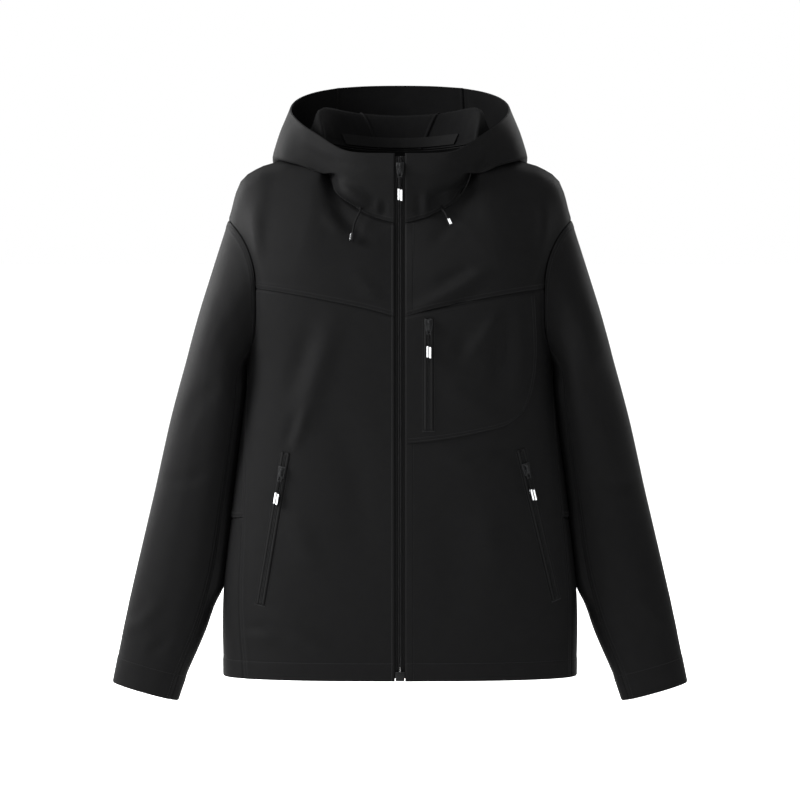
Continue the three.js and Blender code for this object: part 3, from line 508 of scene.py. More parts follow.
# Yokes: the front's upper part, from the yoke seam over the shoulder to the shoulder seam and up to
# the neck seam. The yoke seam's allowance is pressed up and sewn down in two rows.
YOKE_CREASES = {
    "right": [
        crease_at(-0.0020, 0.009, (-0.092, -0.056), (-0.068, -0.082), (-0.044, -0.104)),
        crease_at(0.0016, 0.010, (-0.104, -0.066), (-0.080, -0.096)),
        crease_at(0.0020, 0.008, (-0.200, -0.060), (-0.196, -0.130)),
        crease_at(0.0012, 0.010, (-0.060, -0.150), (-0.028, -0.186)),
    ],
    "left": [
        crease_at(0.0034, 0.009, (0.118, -0.148), (0.072, -0.174), (0.020, -0.199)),
        crease_at(-0.0020, 0.008, (0.116, -0.168), (0.070, -0.192)),
        crease_at(-0.0016, 0.009, (0.100, -0.140), (0.050, -0.166)),
        crease_at(-0.0016, 0.009, (0.086, -0.062), (0.064, -0.090), (0.044, -0.108)),
        crease_at(0.0018, 0.008, (0.200, -0.052), (0.197, -0.120)),
    ],
}
for hand in ("left", "right"):
    s = side_of(hand)
    inset = EDGE_STITCH[hand]
    cloth(
        f"yoke_{hand}",
        corner=(s * 0.007, -0.106, -0.209),
        across=(s * 0.205, -0.059, -0.172),
        edges={"first": turned_up(inset), "last": under, "bottom": lapped, "top": under},
        creases=YOKE_CREASES[hand],
        extra=((inset,), ()),
    )


# Side panels: under each arm from the hem to the armhole, in two pieces.
def filled_under_arm(points, normals, distance):
    """The cloth under the arm stands out a little, as far as the sleeve."""
    edge = np.minimum(distance["first"], distance["last"])
    return 0.0012 * soft(edge / 0.02) * soft((points[..., 2] + 0.53) / 0.05)


for hand in ("left", "right"):
    s = side_of(hand)
    cloth(
        f"side_lower_{hand}",
        corner=(s * 0.24, -0.04, -0.715),
        across=(s * 0.235, 0.056, -0.715),
        edges={"first": under, "last": under, "bottom": turned_up(HEM_FOLD), "top": under},
        extra=((), (HEM_FOLD,)),
    )
    cloth(
        f"side_upper_{hand}",
        corner=(s * 0.23, -0.04, -0.49),
        across=(s * 0.225, 0.05, -0.49),
        edges={"first": under, "last": under, "bottom": lapped, "top": under},
        more=filled_under_arm,
    )

# Back: one panel from the hem to the shoulder seams and the neck seam. It falls in a few long soft
# folds from the shoulder blades, and lies closer at the waist.
BACK_CREASES = [
    crease_behind(-0.0035, 0.024, (-0.150, -0.110), (-0.128, -0.250), (-0.120, -0.420)),
    crease_behind(-0.0032, 0.026, (0.138, -0.100), (0.124, -0.230), (0.128, -0.380)),
    crease_behind(0.0025, 0.016, (-0.090, -0.060), (-0.040, -0.092), (0.030, -0.100), (0.085, -0.072)),
    crease_behind(0.0028, 0.018, (-0.176, -0.210), (-0.150, -0.300), (-0.164, -0.400)),
    crease_behind(0.0026, 0.017, (0.172, -0.190), (0.154, -0.280), (0.170, -0.360)),
    crease_behind(-0.0024, 0.016, (-0.080, -0.380), (-0.020, -0.404), (0.052, -0.392)),
    crease_behind(0.0022, 0.017, (-0.150, -0.452), (-0.070, -0.474), (0.010, -0.462)),
    crease_behind(-0.0022, 0.015, (0.040, -0.440), (0.110, -0.470), (0.170, -0.456)),
    crease_behind(0.0020, 0.022, (0.060, -0.520), (0.082, -0.600), (0.076, -0.680)),
    crease_behind(-0.0020, 0.022, (-0.064, -0.540), (-0.090, -0.620), (-0.084, -0.690)),
]
cloth(
    "back",
    corner=(-0.235, 0.056, -0.715),
    across=(0.235, 0.056, -0.715),
    edges={"first": lapped, "last": lapped, "bottom": turned_up(HEM_FOLD), "top": lapped},
    creases=BACK_CREASES,
    extra=((), (HEM_FOLD,)),
)

# Sleeves: an upper and an under piece each, with the cuff turned up 36 mm and sewn.
CUFF_FOLD = 0.036
SLEEVE_CREASES = {
    "right": [
        crease_at(-0.0016, 0.012, (-0.250, -0.300), (-0.282, -0.330), (-0.300, -0.372)),
        crease_at(-0.0014, 0.010, (-0.262, -0.420), (-0.292, -0.438), (-0.330, -0.440)),
        crease_at(0.0014, 0.009, (-0.338, -0.612), (-0.362, -0.640), (-0.388, -0.652)),
        crease_at(-0.0014, 0.008, (-0.322, -0.660), (-0.350, -0.680)),
        crease_behind(-0.0034, 0.010, (-0.270, -0.400), (-0.300, -0.424), (-0.332, -0.428)),
        crease_behind(-0.0028, 0.010, (-0.278, -0.440), (-0.312, -0.462), (-0.346, -0.458)),
        crease_behind(0.0026, 0.012, (-0.240, -0.230), (-0.262, -0.290), (-0.268, -0.350)),
    ],
    "left": [
        crease_at(-0.0015, 0.012, (0.252, -0.290), (0.280, -0.326), (0.296, -0.376)),
        crease_at(-0.0014, 0.010, (0.266, -0.430), (0.298, -0.446), (0.334, -0.442)),
        crease_at(0.0015, 0.009, (0.334, -0.602), (0.360, -0.634), (0.386, -0.648)),
        crease_behind(-0.0032, 0.010, (0.272, -0.392), (0.302, -0.418), (0.336, -0.420)),
        crease_behind(-0.0030, 0.011, (0.280, -0.446), (0.316, -0.466), (0.350, -0.466)),
        crease_behind(0.0024, 0.012, (0.242, -0.240), (0.260, -0.300), (0.270, -0.356)),
    ],
}


ARM_LEVELS = np.arange(-0.64, -0.255, 0.01)
ARM_PARTS_AT = -0.606
ARM_REACH = 0.012
ARM_OVERLAP = 0.0035


def filled_inside_arm(points, normals, distance):
    """The sleeve's inner side stands out until, seen from the front, it meets the body's side."""
    s = 1 if points[0, 0, 0] > 0 else -1
    hand = "left" if s > 0 else "right"
    names = [f"{name}_{hand}" for name in ("side_upper", "side_lower", "front")]
    body = np.concatenate([panels[name]["points"].reshape(-1, 3) for name in names])

    def reach(cloud, furthest):
        return np.array([furthest(s * cloud[abs(cloud[:, 2] - z) < 0.007, 0]) for z in ARM_LEVELS])

    gap = reach(points.reshape(-1, 3), np.min) - reach(body, np.max)
    push = np.clip(gap + ARM_OVERLAP, 0, ARM_REACH) * soft((ARM_LEVELS - ARM_PARTS_AT) / 0.012)
    push = np.convolve(np.pad(push, 2, mode="edge"), [0.1, 0.2, 0.4, 0.2, 0.1], mode="valid")
    towards_body = soft(-s * normals[..., 0] * 3)
    edge = np.minimum(distance["first"], distance["last"])
    height = np.interp(points[..., 2], ARM_LEVELS, push) * towards_body
    return height * soft(edge / 0.010) * soft(distance["bottom"] / 0.014)


for hand in ("left", "right"):
    s = side_of(hand)
    cloth(
        f"sleeve_upper_{hand}",
        corner=(s * 0.215, 0.05, -0.236),
        across=(s * 0.215, -0.045, -0.256),
        edges={"first": lapped, "last": lapped, "bottom": lapped, "top": turned_up(CUFF_FOLD)},
        creases=SLEEVE_CREASES[hand],
    )
    cloth(
        f"sleeve_under_{hand}",
        corner=(s * 0.215, -0.045, -0.256),
        across=(s * 0.215, 0.05, -0.236),
        edges={"first": under, "last": under, "bottom": lapped, "top": turned_up(CUFF_FOLD)},
        more=filled_inside_arm,
        faces_body=True,
    )

# Hood: two side panels that run on into the standing collar, and a centre panel between them. It
# lies lowered, bulges where the drawcords leave it and puckers at the neck seam.
HOOD_CREASES = {
    "right": [
        crease_at(0.0056, 0.011, (-0.090, -0.028), (-0.066, -0.040), (-0.044, -0.056)),
        crease_at(-0.0050, 0.009, (-0.098, -0.046), (-0.074, -0.062), (-0.058, -0.068)),
        crease_at(0.0016, 0.004, (-0.030, -0.048), (-0.033, -0.068)),
        crease_at(-0.0014, 0.004, (-0.022, -0.050), (-0.023, -0.070)),
        crease_at(0.0018, 0.009, (-0.135, 0.040), (-0.104, 0.020), (-0.076, 0.006)),
        crease_at(-0.0016, 0.009, (-0.150, 0.004), (-0.118, -0.012), (-0.094, -0.018)),
    ],
    "left": [
        crease_at(-0.0060, 0.010, (0.044, -0.050), (0.064, -0.040), (0.090, -0.028)),
        crease_at(0.0036, 0.006, (0.034, -0.040), (0.036, -0.066)),
        crease_at(0.0026, 0.008, (0.060, -0.062), (0.082, -0.050), (0.100, -0.036)),
        crease_at(-0.0014, 0.004, (0.026, -0.042), (0.026, -0.070)),
        crease_at(0.0024, 0.006, (0.112, -0.018), (0.124, -0.006), (0.136, 0.008)),
        crease_at(-0.0020, 0.006, (0.104, -0.012), (0.116, 0.002), (0.128, 0.016)),
        crease_at(0.0016, 0.009, (0.058, 0.008), (0.086, 0.014), (0.112, 0.030)),
    ],
}
for hand in ("left", "right"):
    s = side_of(hand)
    cloth(
        f"hood_side_{hand}",
        corner=(s * 0.0075, -0.08, -0.081),
        across=(s * 0.03, 0.07, 0.02),
        edges={"first": rounded, "last": lapped, "bottom": lapped, "top": rounded},
        creases=HOOD_CREASES[hand],
        step=0.0045,
    )
cloth(
    "hood_centre",
    corner=(-0.03, 0.07, 0.02),
    across=(0.03, 0.07, 0.02),
    edges={"first": under, "last": under, "bottom": lapped, "top": rounded},
    step=0.0045,
)

# Chest pocket: a panel laid on the wearer's left front, with a rounded lower corner, sewn round in
# two rows and caught in the yoke seam. Its cloth falls in a few soft folds.
POCKET_ROWS = (0.0022, 0.0066)


def pocket_edge(distance):
    """The panel's folded edge, pressed down by its two rows."""
    return rounded(distance) * 0.4 + sum(furrow(distance, row) for row in POCKET_ROWS)


cloth(
    "chest_pocket",
    corner=(0.0086, -0.1, -0.384),
    across=(0.166, -0.08, -0.346),
    edges={"last": pocket_edge, "bottom": pocket_edge, "top": under},
    creases=[
        crease_at(0.0026, 0.010, (0.136, -0.206), (0.116, -0.236), (0.096, -0.262)),
        crease_at(-0.0020, 0.012, (0.146, -0.214), (0.140, -0.262), (0.132, -0.300)),
        crease_at(0.0022, 0.011, (0.164, -0.200), (0.166, -0.270), (0.158, -0.326)),
        crease_at(-0.0012, 0.010, (0.088, -0.232), (0.082, -0.266)),
        crease_at(0.0012, 0.014, (0.060, -0.300), (0.100, -0.330), (0.130, -0.348)),
    ],
    step=0.004,
    thick=0.0012,
)

# Sewing: lockstitch in black thread, one every 3.2 mm, in the rows of the seams, hems and cuffs.
# Each stitch is a small spindle that dips into the cloth at both ends.
STITCH_PITCH = 0.0032
STITCH_LONG = 0.0026
STITCH_HALF = 0.0003
THREAD_COLOUR = (0.0085, 0.0085, 0.0089, 1)
thread = uneven("sewing_thread", THREAD_COLOUR, 0.55, 0.1, 900, 0.3)


def spindles(name, middles, along, out, long, half, deep, paint, dip=0.0003, sides=5):
    """Makes many small spindles as one piece, each at a place, along one direction and standing out
    in another."""
    along = unit(along)
    aside = unit(np.cross(out, along))
    out = np.cross(along, aside)
    verts = [middles - along * long / 2 - out * dip]
    for share in (-0.3, 0.3):
        for k in range(sides):
            turn = 2 * math.pi * k / sides
            ring = aside * half * math.cos(turn) + out * deep * math.sin(turn)
            verts.append(middles + along * long * share + ring)
    verts.append(middles + along * long / 2 - out * dip)
    count = 2 * sides + 2
    shape = []
    for k in range(sides):
        after = (k + 1) % sides
        shape.append([0, 1 + after, 1 + k])
        shape.append([1 + k, 1 + after, 1 + sides + after, 1 + sides + k])
        shape.append([1 + sides + k, 1 + sides + after, count - 1])
    faces = [[i * count + v for v in face] for i in range(len(middles)) for face in shape]
    return fitted(piece_of(name, np.stack(verts, axis=1), faces, [paint]), "jacket")


def row_along(panel, edge, distance):
    """A line on a panel at a distance from one of its edges, with the cloth's normals."""
    made = panels[panel]
    points, normals, far = made["points"], made["normals"], made["distance"][edge]
    if edge in ("first", "last"):
        points, normals, far = points.transpose(1, 0, 2), normals.transpose(1, 0, 2), far.T
    if far[0, 0] > far[0, -1]:
        points, normals, far = points[:, ::-1], normals[:, ::-1], far[:, ::-1]
    rows = range(len(far))
    line = np.array([[np.interp(distance, far[i], points[i, :, c]) for c in range(3)] for i in rows])
    out = np.array([[np.interp(distance, far[i], normals[i, :, c]) for c in range(3)] for i in rows])
    return line, out


def laid_on(panel, line):
    """A line moved onto a panel's face, with the cloth's normals."""
    tree = panels[panel]["tree"]
    found = [tree.find_nearest(Vector(point)) for point in line]
    return np.array([f[0][:] for f in found]), np.array([f[1][:] for f in found])


def spaced(line, out, pitch, margin=0.0):
    """Places at an even pitch along a line, with the directions along it and out of the cloth."""
    arc = run_of(line)
    count = int((arc[-1] - 2 * margin) / pitch)
    at = margin + (np.arange(count) + 0.5) * pitch

    def read(values, where):
        return np.stack([np.interp(where, arc, values[:, c]) for c in range(3)], axis=1)

    along = read(line, at + pitch / 2) - read(line, at - pitch / 2)
    return read(line, at), along, read(out, at)


def sewn(name, rows, margin=0.002):
    """Sews rows of stitches, each a line with its normals."""
    parts = [spaced(line, out, STITCH_PITCH, margin) for line, out in rows]
    middles, along, out = (np.concatenate(part) for part in zip(*parts))
    middles = middles + out * 0.0001
    return spindles(name, middles, along, out, STITCH_LONG, STITCH_HALF, STITCH_HALF, thread)


for hand in ("left", "right"):
    seam = [("first", EDGE_STITCH[hand]), ("bottom", HEM_FOLD)] + [("last", row) for row in SEAM_ROWS]
    sewn(f"front_sewing_{hand}", [row_along(f"front_{hand}", *row) for row in seam])
    seam = [("first", EDGE_STITCH[hand])] + [("bottom", row) for row in SEAM_ROWS]
    sewn(f"yoke_sewing_{hand}", [row_along(f"yoke_{hand}", *row) for row in seam])
    side = [row_along(f"side_lower_{hand}", "bottom", HEM_FOLD)]
    side += [row_along(f"side_upper_{hand}", "bottom", row) for row in SEAM_ROWS]
    sewn(f"side_sewing_{hand}", side)
    sleeve = [row_along(f"sleeve_{part}_{hand}", "top", CUFF_FOLD) for part in ("upper", "under")]
    for row in SEAM_ROWS:
        sleeve += [row_along(f"sleeve_upper_{hand}", edge, row) for edge in ("first", "last", "bottom")]
        sleeve.append(row_along(f"sleeve_under_{hand}", "bottom", row))
    sewn(f"sleeve_sewing_{hand}", sleeve)
    hood = [row_along(f"hood_side_{hand}", edge, row) for edge in ("last", "bottom") for row in SEAM_ROWS]
    sewn(f"hood_sewing_{hand}", hood)
back = [row_along("back", "bottom", HEM_FOLD)]
back += [row_along("back", edge, row) for edge in ("first", "last", "top") for row in SEAM_ROWS]
sewn("back_sewing", back)
sewn("hood_centre_sewing", [row_along("hood_centre", "bottom", row) for row in SEAM_ROWS])
sewn("chest_pocket_sewing", [
    row_along("chest_pocket", edge, row) for edge in ("last", "bottom") for row in POCKET_ROWS
])

# Main zip: woven tapes sewn behind the two front edges, with a nylon coil on each that meets its
# neighbour in the middle, and a box at the foot.
TAPE_COLOUR = (0.0024, 0.0024, 0.0025, 1)
COIL_COLOUR = (0.0034, 0.0034, 0.0036, 1)
CHAIN_FACE = 0.0009
TAPE_FACE = 0.0033
TAPE_THICK = 0.0008
TAPE_REACH = 0.0125
TAPE_BELOW_CHAIN = 0.0095
TAPE_ROW = 0.0040
TAPE_SUNK = CHAIN_FACE - TAPE_FACE
TAPE_PROFILE = [
    (0.0001, 0), (0.0008, 0), (0.0030, 0), (0.0034, 0.0004), (TAPE_ROW, 0.0005),
    (0.0046, 0.0001), (0.0056, 0), (0.0080, 0), (TAPE_REACH, 0),
]
MAIN_COIL = {"pitch": 0.0015, "reach": 0.0029, "apart": 0.00135, "half": 0.00068, "deep": 0.0011,
             "sunk": 0.0011, "dip": 0.0008}
BIAS = math.radians(45)
tape_cloth = woven("zip_tape", TAPE_COLOUR, 0.7, 0.07, 0.0006, 0.00008, BIAS)
coil = uneven("nylon_coil", COIL_COLOUR, 0.45, 0.1, 240, 0.2)


def chain_line():
    """The outer face of the zip's chain in the middle plane, from the hem up, with its outward
    directions."""
    solid = frame["nodes"]["zip_chain"].data
    corners = {tuple(round(c, 6) for c in v.co) for v in solid.vertices if v.co.x > 0}
    corners = np.array(sorted(corners, key=lambda c: c[2]))
    gap = TAPE_FACE - CHAIN_FACE + 0.0009
    face, out = [], []
    for point in corners:
        far = np.linalg.norm(corners - point, axis=1)
        other = corners[np.argmin(abs(far - gap))]
        if abs(np.linalg.norm(point - other) - gap) < SAME_POINT and point[1] < other[1]:
            face.append([0, point[1], point[2]])
            out.append((point - other) / gap)
    return np.array(face), np.array(out)


def strip(name, line, out, profile, thick, paint, node):
    """Makes a ribbon along a line from places across it and their heights, for a solid's place."""
    across = unit(np.cross(np.gradient(line, axis=0), out))
    points = np.array([[p + a * x + o * h for x, h in profile] for p, a, o in zip(line, across, out)])
    quads = quads_over(*points.shape[:2], turned=True)
    if np.cross(points[0, 1] - points[0, 0], points[1, 0] - points[0, 0]) @ out[0] < 0:
        quads = quads[:, ::-1]
    flat = np.stack([arcs_of(points, 1), arcs_of(points, 0)], axis=-1)
    return fitted(shell(name, points, quads, flat, [paint], thick), "jacket", node)


def coiled(name, line, out, size, margin=0.0):
    """Makes a zip's coil: short turns that reach across its middle from each side in turn."""
    teeth, along, out = spaced(line, out, size["pitch"], margin)
    sides = np.tile([1.0, -1.0], len(teeth))[:, None]
    along, out = unit(np.repeat(along, 2, axis=0)), np.repeat(out, 2, axis=0)
    sideways = unit(np.cross(along, out)) * sides
    middles = np.repeat(teeth, 2, axis=0) + sideways * size["apart"] - out * size["sunk"]
    middles += along * sides * size["pitch"] / 4
    return spindles(name, middles, sideways, out, size["reach"], size["half"], size["deep"], coil,
                    dip=size["dip"], sides=6)


def even(line, out, step):
    """A line and its directions read again at an even step."""
    arc = run_of(line)
    at = np.linspace(0, arc[-1], max(3, int(arc[-1] / step)))
    return smooth_rows(line, arc, at), unit(smooth_rows(out, arc, at))


chain, chain_out = even(*chain_line(), 0.004)
tape_foot = chain[0] + unit(chain[0] - chain[1]) * TAPE_BELOW_CHAIN
tape_line = np.concatenate([[tape_foot], chain])
tape_out = np.concatenate([chain_out[:1], chain_out])
for hand in ("left", "right"):
    profile = [(side_of(hand) * x, TAPE_SUNK + h) for x, h in TAPE_PROFILE]
    strip(f"zip_tape_{hand}_woven", tape_line, tape_out, profile, TAPE_THICK, tape_cloth, f"zip_tape_{hand}")
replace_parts(coiled("zip_coil", chain, chain_out, MAIN_COIL), "zip_chain")
tape_face = chain + chain_out * (TAPE_SUNK + 0.0006)
sewn("zip_tape_sewing", [(tape_face + np.array([x, 0, 0]), chain_out) for x in (-TAPE_ROW, TAPE_ROW)])

# Metal parts of the zips: cast and painted black, their rounded edges painted a little paler for wear and as
# a painted highlight where the edges catch the light. A slider has a bridge on its back, which holds a
# pierced tab.
METAL_COLOUR = (0.0026, 0.0027, 0.0029, 1)
# Edge colour: paler for wear, and a painted highlight where the edges catch the light.
METAL_EDGE_WEAR_AND_HIGHLIGHT = (0.014, 0.0145, 0.015, 1)


def cast_metal(name, colour, roughness):
    made = uneven(name, colour, roughness, 0.1, 420, 0.25)
    grain = node_of(made, "ShaderNodeTexNoise")
    grain.inputs["Scale"].default_value = 2600
    bump = node_of(made, "ShaderNodeBump")
    bump.inputs["Strength"].default_value = 0.25
    bump.inputs["Distance"].default_value = 0.00003
    links = made.node_tree.links
    links.new(node_of(made, "ShaderNodeTexCoord").outputs["Object"], grain.inputs["Vector"])
    links.new(grain.outputs["Fac"], bump.inputs["Height"])
    links.new(bump.outputs["Normal"], made.node_tree.nodes["Principled BSDF"].inputs["Normal"])
    return made


painted = cast_metal("painted_metal", METAL_COLOUR, 0.36)
# The rounded edges' paint: wear and a painted highlight.
worn_and_highlit_edge = cast_metal("worn_and_highlit_edge", METAL_EDGE_WEAR_AND_HIGHLIGHT, 0.34)


def round_edges(piece, width, segments, smooth_below, paler_edges=False):
    """Rounds the edges of the active piece and shades it smooth where it turns little."""
    edges = piece.modifiers.new("edges", "BEVEL")
    edges.width = width
    edges.segments = segments
    edges.limit_method = "ANGLE"
    edges.angle_limit = math.radians(30)
    # Paler paint on the rounded edges: wear and a painted highlight.
    if paler_edges:
        edges.material = 1
    bpy.ops.object.modifier_apply(modifier=edges.name)
    bpy.ops.object.shade_smooth_by_angle(angle=math.radians(smooth_below))


def cast(node, body, rounding=0.0004):
    """A part's solid with its flat faces joined, its edges rounded and painted paler, as wear and as a
    painted highlight.
    """
    piece = bpy.data.objects.new(node + "_cast", frame["nodes"][node].data.copy())
    bpy.context.collection.objects.link(piece)
    bpy.ops.object.select_all(action="DESELECT")
    piece.select_set(True)
    bpy.context.view_layer.objects.active = piece
    bpy.ops.object.mode_set(mode="EDIT")
    bpy.ops.mesh.select_all(action="SELECT")
    bpy.ops.mesh.remove_doubles(threshold=SAME_POINT)
    bpy.ops.mesh.dissolve_limited(angle_limit=math.radians(2))
    bpy.ops.mesh.customdata_custom_splitnormals_clear()
    bpy.ops.object.mode_set(mode="OBJECT")
    piece.data.materials.clear()
    piece.data.materials.append(painted)
    piece.data.materials.append(worn_and_highlit_edge)
    round_edges(piece, rounding, 2, 40, paler_edges=True)
    return fitted(piece, body, node)


cast("zip_box", "jacket", 0.0006)

# Pulls: a cord loop, twisted through the tab, with a moulded black grip on its end that has two
# pale reflective bars on each face. The bar on the wearer's right sits a little higher.
GRIP_COLOUR = (0.0030, 0.0030, 0.0032, 1)
BAR_COLOUR = (0.70, 0.71, 0.72, 1)
CORD_COLOUR = (0.0026, 0.0026, 0.0027, 1)
LOOP_RADIUS = 0.0008
LOOP_TWIST = 0.00095
LOOP_TURNS = 1.5
LOOP_TOP = -0.0106
LOOP_BOTTOM = -0.0268
GRIP_SIZE = (0.0078, 0.0042, 0.0180)
GRIP_MIDDLE = -0.0351
BAR_SIZE = (0.0023, 0.0006, 0.0150)
BAR_ASIDE = 0.00185
BAR_OUT = 0.0020
BARS = [("right", -1, 0.0002), ("left", 1, -0.0010)]
DOME_WIDE = 0.6
DOME_HIGH = 0.35
moulded = uneven("moulded_grip", GRIP_COLOUR, 0.5, 0.1, 700, 0.25)
reflective = uneven("reflective_bar", BAR_COLOUR, 0.32, 0.5, 1500, 0.08)
braid = woven("braided_cord", CORD_COLOUR, 0.7, 0.05, 0.0009, 0.00025, BIAS)


def tube(name, path, radius, paint, sides=10):
    """A round cord along a path, with closed ends and a UV map round and along it in metres."""
    path = np.array(path, float)
    ahead = unit(np.gradient(path, axis=0))
    aside = np.cross(ahead[0], [0, 0, 1] if abs(ahead[0, 2]) < 0.9 else [1, 0, 0])
    turns = 2 * np.pi * np.arange(sides) / sides
    rings = []
    for place, way in zip(path, ahead):
        aside = unit(aside - way * (aside @ way))
        ring = np.outer(np.cos(turns), aside) + np.outer(np.sin(turns), np.cross(way, aside))
        rings.append(place + radius * ring)
    caps = [path[at] + (rings[at] - path[at]) * DOME_WIDE + ahead[at] * radius * DOME_HIGH * outward
            for at, outward in ((0, -1), (-1, 1))]
    rings = np.array([caps[0], *rings, caps[1]])
    arc = run_of(rings.mean(axis=1))
    faces, flat = [], []
    for i in range(len(rings) - 1):
        for k in range(sides):
            after = (k + 1) % sides
            faces.append([i * sides + k, i * sides + after, (i + 1) * sides + after, (i + 1) * sides + k])
            u0, u1 = (2 * math.pi * radius * turn / sides for turn in (k, k + 1))
            flat += [(u0, arc[i]), (u1, arc[i]), (u1, arc[i + 1]), (u0, arc[i + 1])]
    last = (len(rings) - 1) * sides
    faces += [list(range(sides))[::-1], [last + k for k in range(sides)]]
    flat += [(0, 0)] * (2 * sides)
    return piece_of(name, rings, faces, [paint], np.array(flat, float))


def rounded_block(name, size, spot, rounding, paint, place, body, node=None, narrowed=1.0):
    """A moulded block with rounded edges, narrower at its top end, moved to where it belongs."""
    bpy.ops.object.select_all(action="DESELECT")
    bpy.ops.mesh.primitive_cube_add(size=1, location=spot)
    piece = bpy.context.object
    piece.name = name
    piece.scale = size
    bpy.ops.object.transform_apply(location=True, rotation=False, scale=True)
    for vert in piece.data.vertices:
        if vert.co.z > spot[2]:
            vert.co.x = spot[0] + (vert.co.x - spot[0]) * narrowed
            vert.co.y = spot[1] + (vert.co.y - spot[1]) * narrowed
    round_edges(piece, rounding, 4, 50)
    piece.data.materials.append(paint)
    piece.data.transform(place)
    return fitted(piece, body, node)


def pull_place(joint_name, grip):
    """The place of a pull: across it, into the cloth and up it, from its hinge."""
    joint = next(j for j in frame["joints"] if j["name"] == joint_name)
    hinge = Vector(joint["pos_m"])
    across = -Vector(joint["axis"]).normalized()
    corners = {tuple(round(c, 6) for c in v.co) for v in frame["nodes"][grip].data.vertices}
    up = hinge - sum((Vector(c) for c in corners), Vector()) / len(corners)
    up = (up - across * up.dot(across)).normalized()
    return Matrix.Translation(hinge) @ Matrix((across, up.cross(across), up)).transposed().to_4x4()


def made_pull(stem, hand=""):
    """A slider with its tab and the pull on the tab, which swing together."""
    end = f"_{hand}" if hand else ""
    body = f"{stem}_pull{end}"
    grip = f"{stem}_grip{end}"
    cast(f"{stem}_slider{end}", "jacket")
    cast(f"{stem}_tab{end}", body, 0.0003)
    place = pull_place(f"{body}_swing", grip)
    share = np.linspace(0, 1, 26)
    for strand in (0, 1):
        turn = math.pi * strand + 2 * math.pi * LOOP_TURNS * share + math.pi / 2
        apart = LOOP_TWIST * (0.5 + 0.5 * np.sin(math.pi * share))
        route = [Vector((a * math.cos(t), a * math.sin(t), LOOP_TOP + (LOOP_BOTTOM - LOOP_TOP) * w))
                 for a, t, w in zip(apart, turn, share)]
        cord = tube(f"{grip}_cord_{strand + 1}", [place @ point for point in route], LOOP_RADIUS, braid, 8)
        fitted(cord, body)
    rounded_block(f"{grip}_moulded", GRIP_SIZE, (0, 0, GRIP_MIDDLE), 0.0016, moulded, place, body, grip, 0.86)
    for face, outward in (("front", -1), ("back", 1)):
        for side, aside, raised in BARS:
            spot = (aside * BAR_ASIDE, outward * BAR_OUT, GRIP_MIDDLE + raised)
            rounded_block(f"{grip}_bar_{face}_{side}", BAR_SIZE, spot, 0.00025, reflective, place, body)


made_pull("main")

# Chest and hand pocket zips: a welt of two folded lips with a small coil between them, laid in the
# cloth, sewn round, and closed at the foot with a bar tack.
BAND_PROFILE = [
    (0, -0.0009), (0.0004, -0.0004), (0.0010, 0.0000), (0.0020, 0.0002), (0.0032, 0.0001),
    (0.0038, -0.0003), (0.0041, -0.0008), (0.0044, -0.0010), (0.0062, -0.0010), (0.0080, -0.0010),
    (0.0083, -0.0008), (0.0086, -0.0003), (0.0092, 0.0001), (0.0104, 0.0002), (0.0114, 0.0000),
    (0.0120, -0.0004), (0.0124, -0.0009),
]
BAND_WIDTH = 0.0124
BAND_THICK = 0.0006
WELT_COIL = {"pitch": 0.0012, "reach": 0.0021, "apart": 0.00095, "half": 0.00052, "deep": 0.0006,
             "sunk": 0.0007, "dip": 0.0003}
WELT_REACH = 0.0017
TACK_BELOW = 0.0006
TACK_LONG = 0.0021
TACK_HALF = 0.00042
TACK_DEEP = 0.0005
TACK_STITCHES = 22
welt_cloth = woven("welt_cloth", FACE_COLOUR, 0.66, 0.07, 0.0009, 0.00012)


def welted_zip(node, bottom, across, panel):
    """A welt in a panel with its coil, its sewing and the tack at its foot."""
    coarse, facing = skin_of(node, bottom, across)
    middle = coarse[len(coarse) // 2]
    aside = unit(coarse[-1] - coarse[0])
    out = unit(np.cross(aside, np.gradient(middle, axis=0)) * facing)
    line, out = even(middle, out, 0.004)
    profile = [(x - BAND_WIDTH / 2, h) for x, h in BAND_PROFILE]
    strip(f"{node}_welt", line, out, profile, BAND_THICK, welt_cloth, node)
    coiled(f"{node}_coil", line, out, WELT_COIL, 0.002)
    sideways = unit(np.cross(np.gradient(line, axis=0), out))
    reach = BAND_WIDTH / 2 + WELT_REACH
    rows = [laid_on(panel, line + sideways * reach * side) for side in (-1, 1)]
    sewn(f"{node}_sewing", rows, 0)
    foot = line[0] + unit(line[0] - line[1]) * TACK_BELOW
    spots = np.linspace(-reach, reach, TACK_STITCHES)
    tack, tack_out = laid_on(panel, np.array([foot + sideways[0] * x for x in spots]))
    upward = np.repeat((line[1] - line[0])[None], len(tack), axis=0)
    tack = tack + tack_out * 0.0003
    spindles(f"{node}_tack", tack, upward, tack_out, TACK_LONG, TACK_HALF, TACK_DEEP, thread)


welted_zip("chest_zip", (0.033, -0.11, -0.366), (0.046, -0.11, -0.366), "chest_pocket")
made_pull("chest")
welted_zip("pocket_zip_left", (0.211, -0.06, -0.603), (0.223, -0.06, -0.605), "front_left")
made_pull("pocket", "left")
welted_zip("pocket_zip_right", (-0.188, -0.06, -0.608), (-0.200, -0.06, -0.611), "front_right")
made_pull("pocket", "right")

# Neck tape: a woven tape sewn over the back neck seam on the inside.
NECK_COLOUR = (0.0024, 0.0024, 0.0025, 1)
neck_cloth = woven("neck_tape", NECK_COLOUR, 0.85, 0.06, 0.0008, 0.0001, BIAS)
cloth(
    "neck_tape",
    corner=(0.06, 0.03, 0.0),
    across=(-0.06, 0.03, 0.0),
    edges={},
    step=0.003,
    thick=0.0008,
    paint=(neck_cloth, neck_cloth),
)

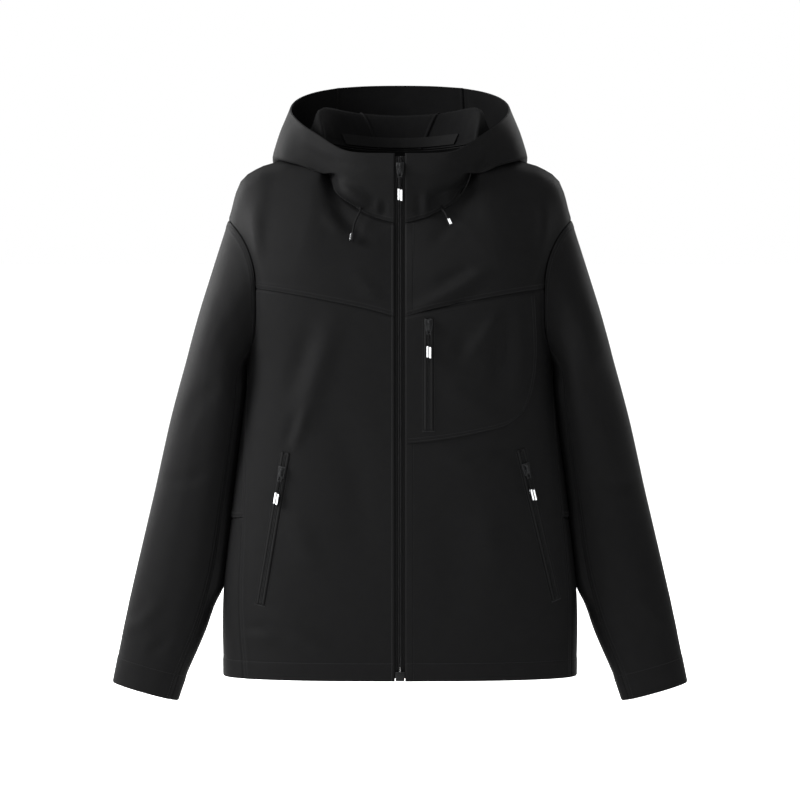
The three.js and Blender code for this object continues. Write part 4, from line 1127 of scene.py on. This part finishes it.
# Drawcords: round braided cord that leaves the hood at the front on both sides and hangs free, each
# with a moulded end that carries two pale bars. The photo shows their whole free length.
CORD_WIDE = 0.003
CORD_ROUTES = {
    "right": [(-0.054, -0.0739, -0.0584), (-0.0544, -0.081, -0.062), (-0.059, -0.0855, -0.072),
              (-0.063, -0.0885, -0.082), (-0.065, -0.092, -0.093)],
    "left": [(0.058, -0.0719, -0.0578), (0.0584, -0.079, -0.062), (0.0605, -0.088, -0.064),
             (0.0625, -0.096, -0.067), (0.0658, -0.101, -0.074)],
}
TIP_RADIUS = 0.0025
TIP_LENGTH = 0.012
TIP_GAP = 0.0003
TIP_BAR = (0.0013, 0.0005, 0.0092)
TIP_BAR_ASIDE = 0.0010
TIP_BAR_OUT = 0.0023
TIP_FACES = {"right": (-0.7, 1, 0), "left": (0.3, -1, 0.2)}


def smooth_route(points, count):
    """A smooth curve through a few points, close to the chords where they are short."""
    points = np.array(points, float)
    points = np.concatenate([[2 * points[0] - points[1]], points, [2 * points[-1] - points[-2]]])
    curve = []
    for i in range(1, len(points) - 2):
        p0, p1, p2, p3 = points[i - 1 : i + 3]
        d0, d1, d2 = (np.linalg.norm(b - a) ** 0.5 for a, b in ((p0, p1), (p1, p2), (p2, p3)))
        m1 = ((p1 - p0) / d0 - (p2 - p0) / (d0 + d1) + (p2 - p1) / d1) * d1
        m2 = ((p2 - p1) / d1 - (p3 - p1) / (d1 + d2) + (p3 - p2) / d2) * d1
        for t in np.linspace(0, 1, count, endpoint=False):
            a, b = 2 * t**3 - 3 * t**2 + 1, t**3 - 2 * t**2 + t
            curve.append(a * p1 + b * m1 + (1 - a) * p2 + (t**3 - t**2) * m2)
    return np.array(curve + [points[-2]])


for hand, route in CORD_ROUTES.items():
    path = smooth_route(route, 7)
    cord = fitted(tube(f"drawcord_{hand}", path, CORD_WIDE / 2, braid, 12), "jacket", f"cord_{hand}")
    way = Vector(path[-1] - path[-2]).normalized()
    middle = Vector(path[-1]) + way * (TIP_GAP + TIP_LENGTH / 2)
    facing = Vector(TIP_FACES[hand])
    inward = -(facing - way * facing.dot(way)).normalized()
    place = Matrix.Translation(middle) @ Matrix((inward.cross(-way), inward, -way)).transposed().to_4x4()
    bpy.ops.object.select_all(action="DESELECT")
    bpy.ops.mesh.primitive_cylinder_add(vertices=24, radius=TIP_RADIUS, depth=TIP_LENGTH)
    tip = bpy.context.object
    tip.name = f"drawcord_tip_{hand}"
    bpy.ops.object.mode_set(mode="EDIT")
    bpy.ops.mesh.select_all(action="SELECT")
    bpy.ops.mesh.subdivide(number_cuts=1, smoothness=0)
    bpy.ops.object.mode_set(mode="OBJECT")
    round_edges(tip, 0.0007, 3, 40)
    tip.data.materials.append(moulded)
    tip.data.transform(place)
    fitted(tip, "jacket", f"cord_tip_{hand}")
    for number, side in ((1, -1), (2, 1)):
        spot = (side * TIP_BAR_ASIDE, -TIP_BAR_OUT, 0)
        name = f"drawcord_tip_{hand}_bar_{number}"
        rounded_block(name, TIP_BAR, spot, 0.0002, reflective, place, "jacket")
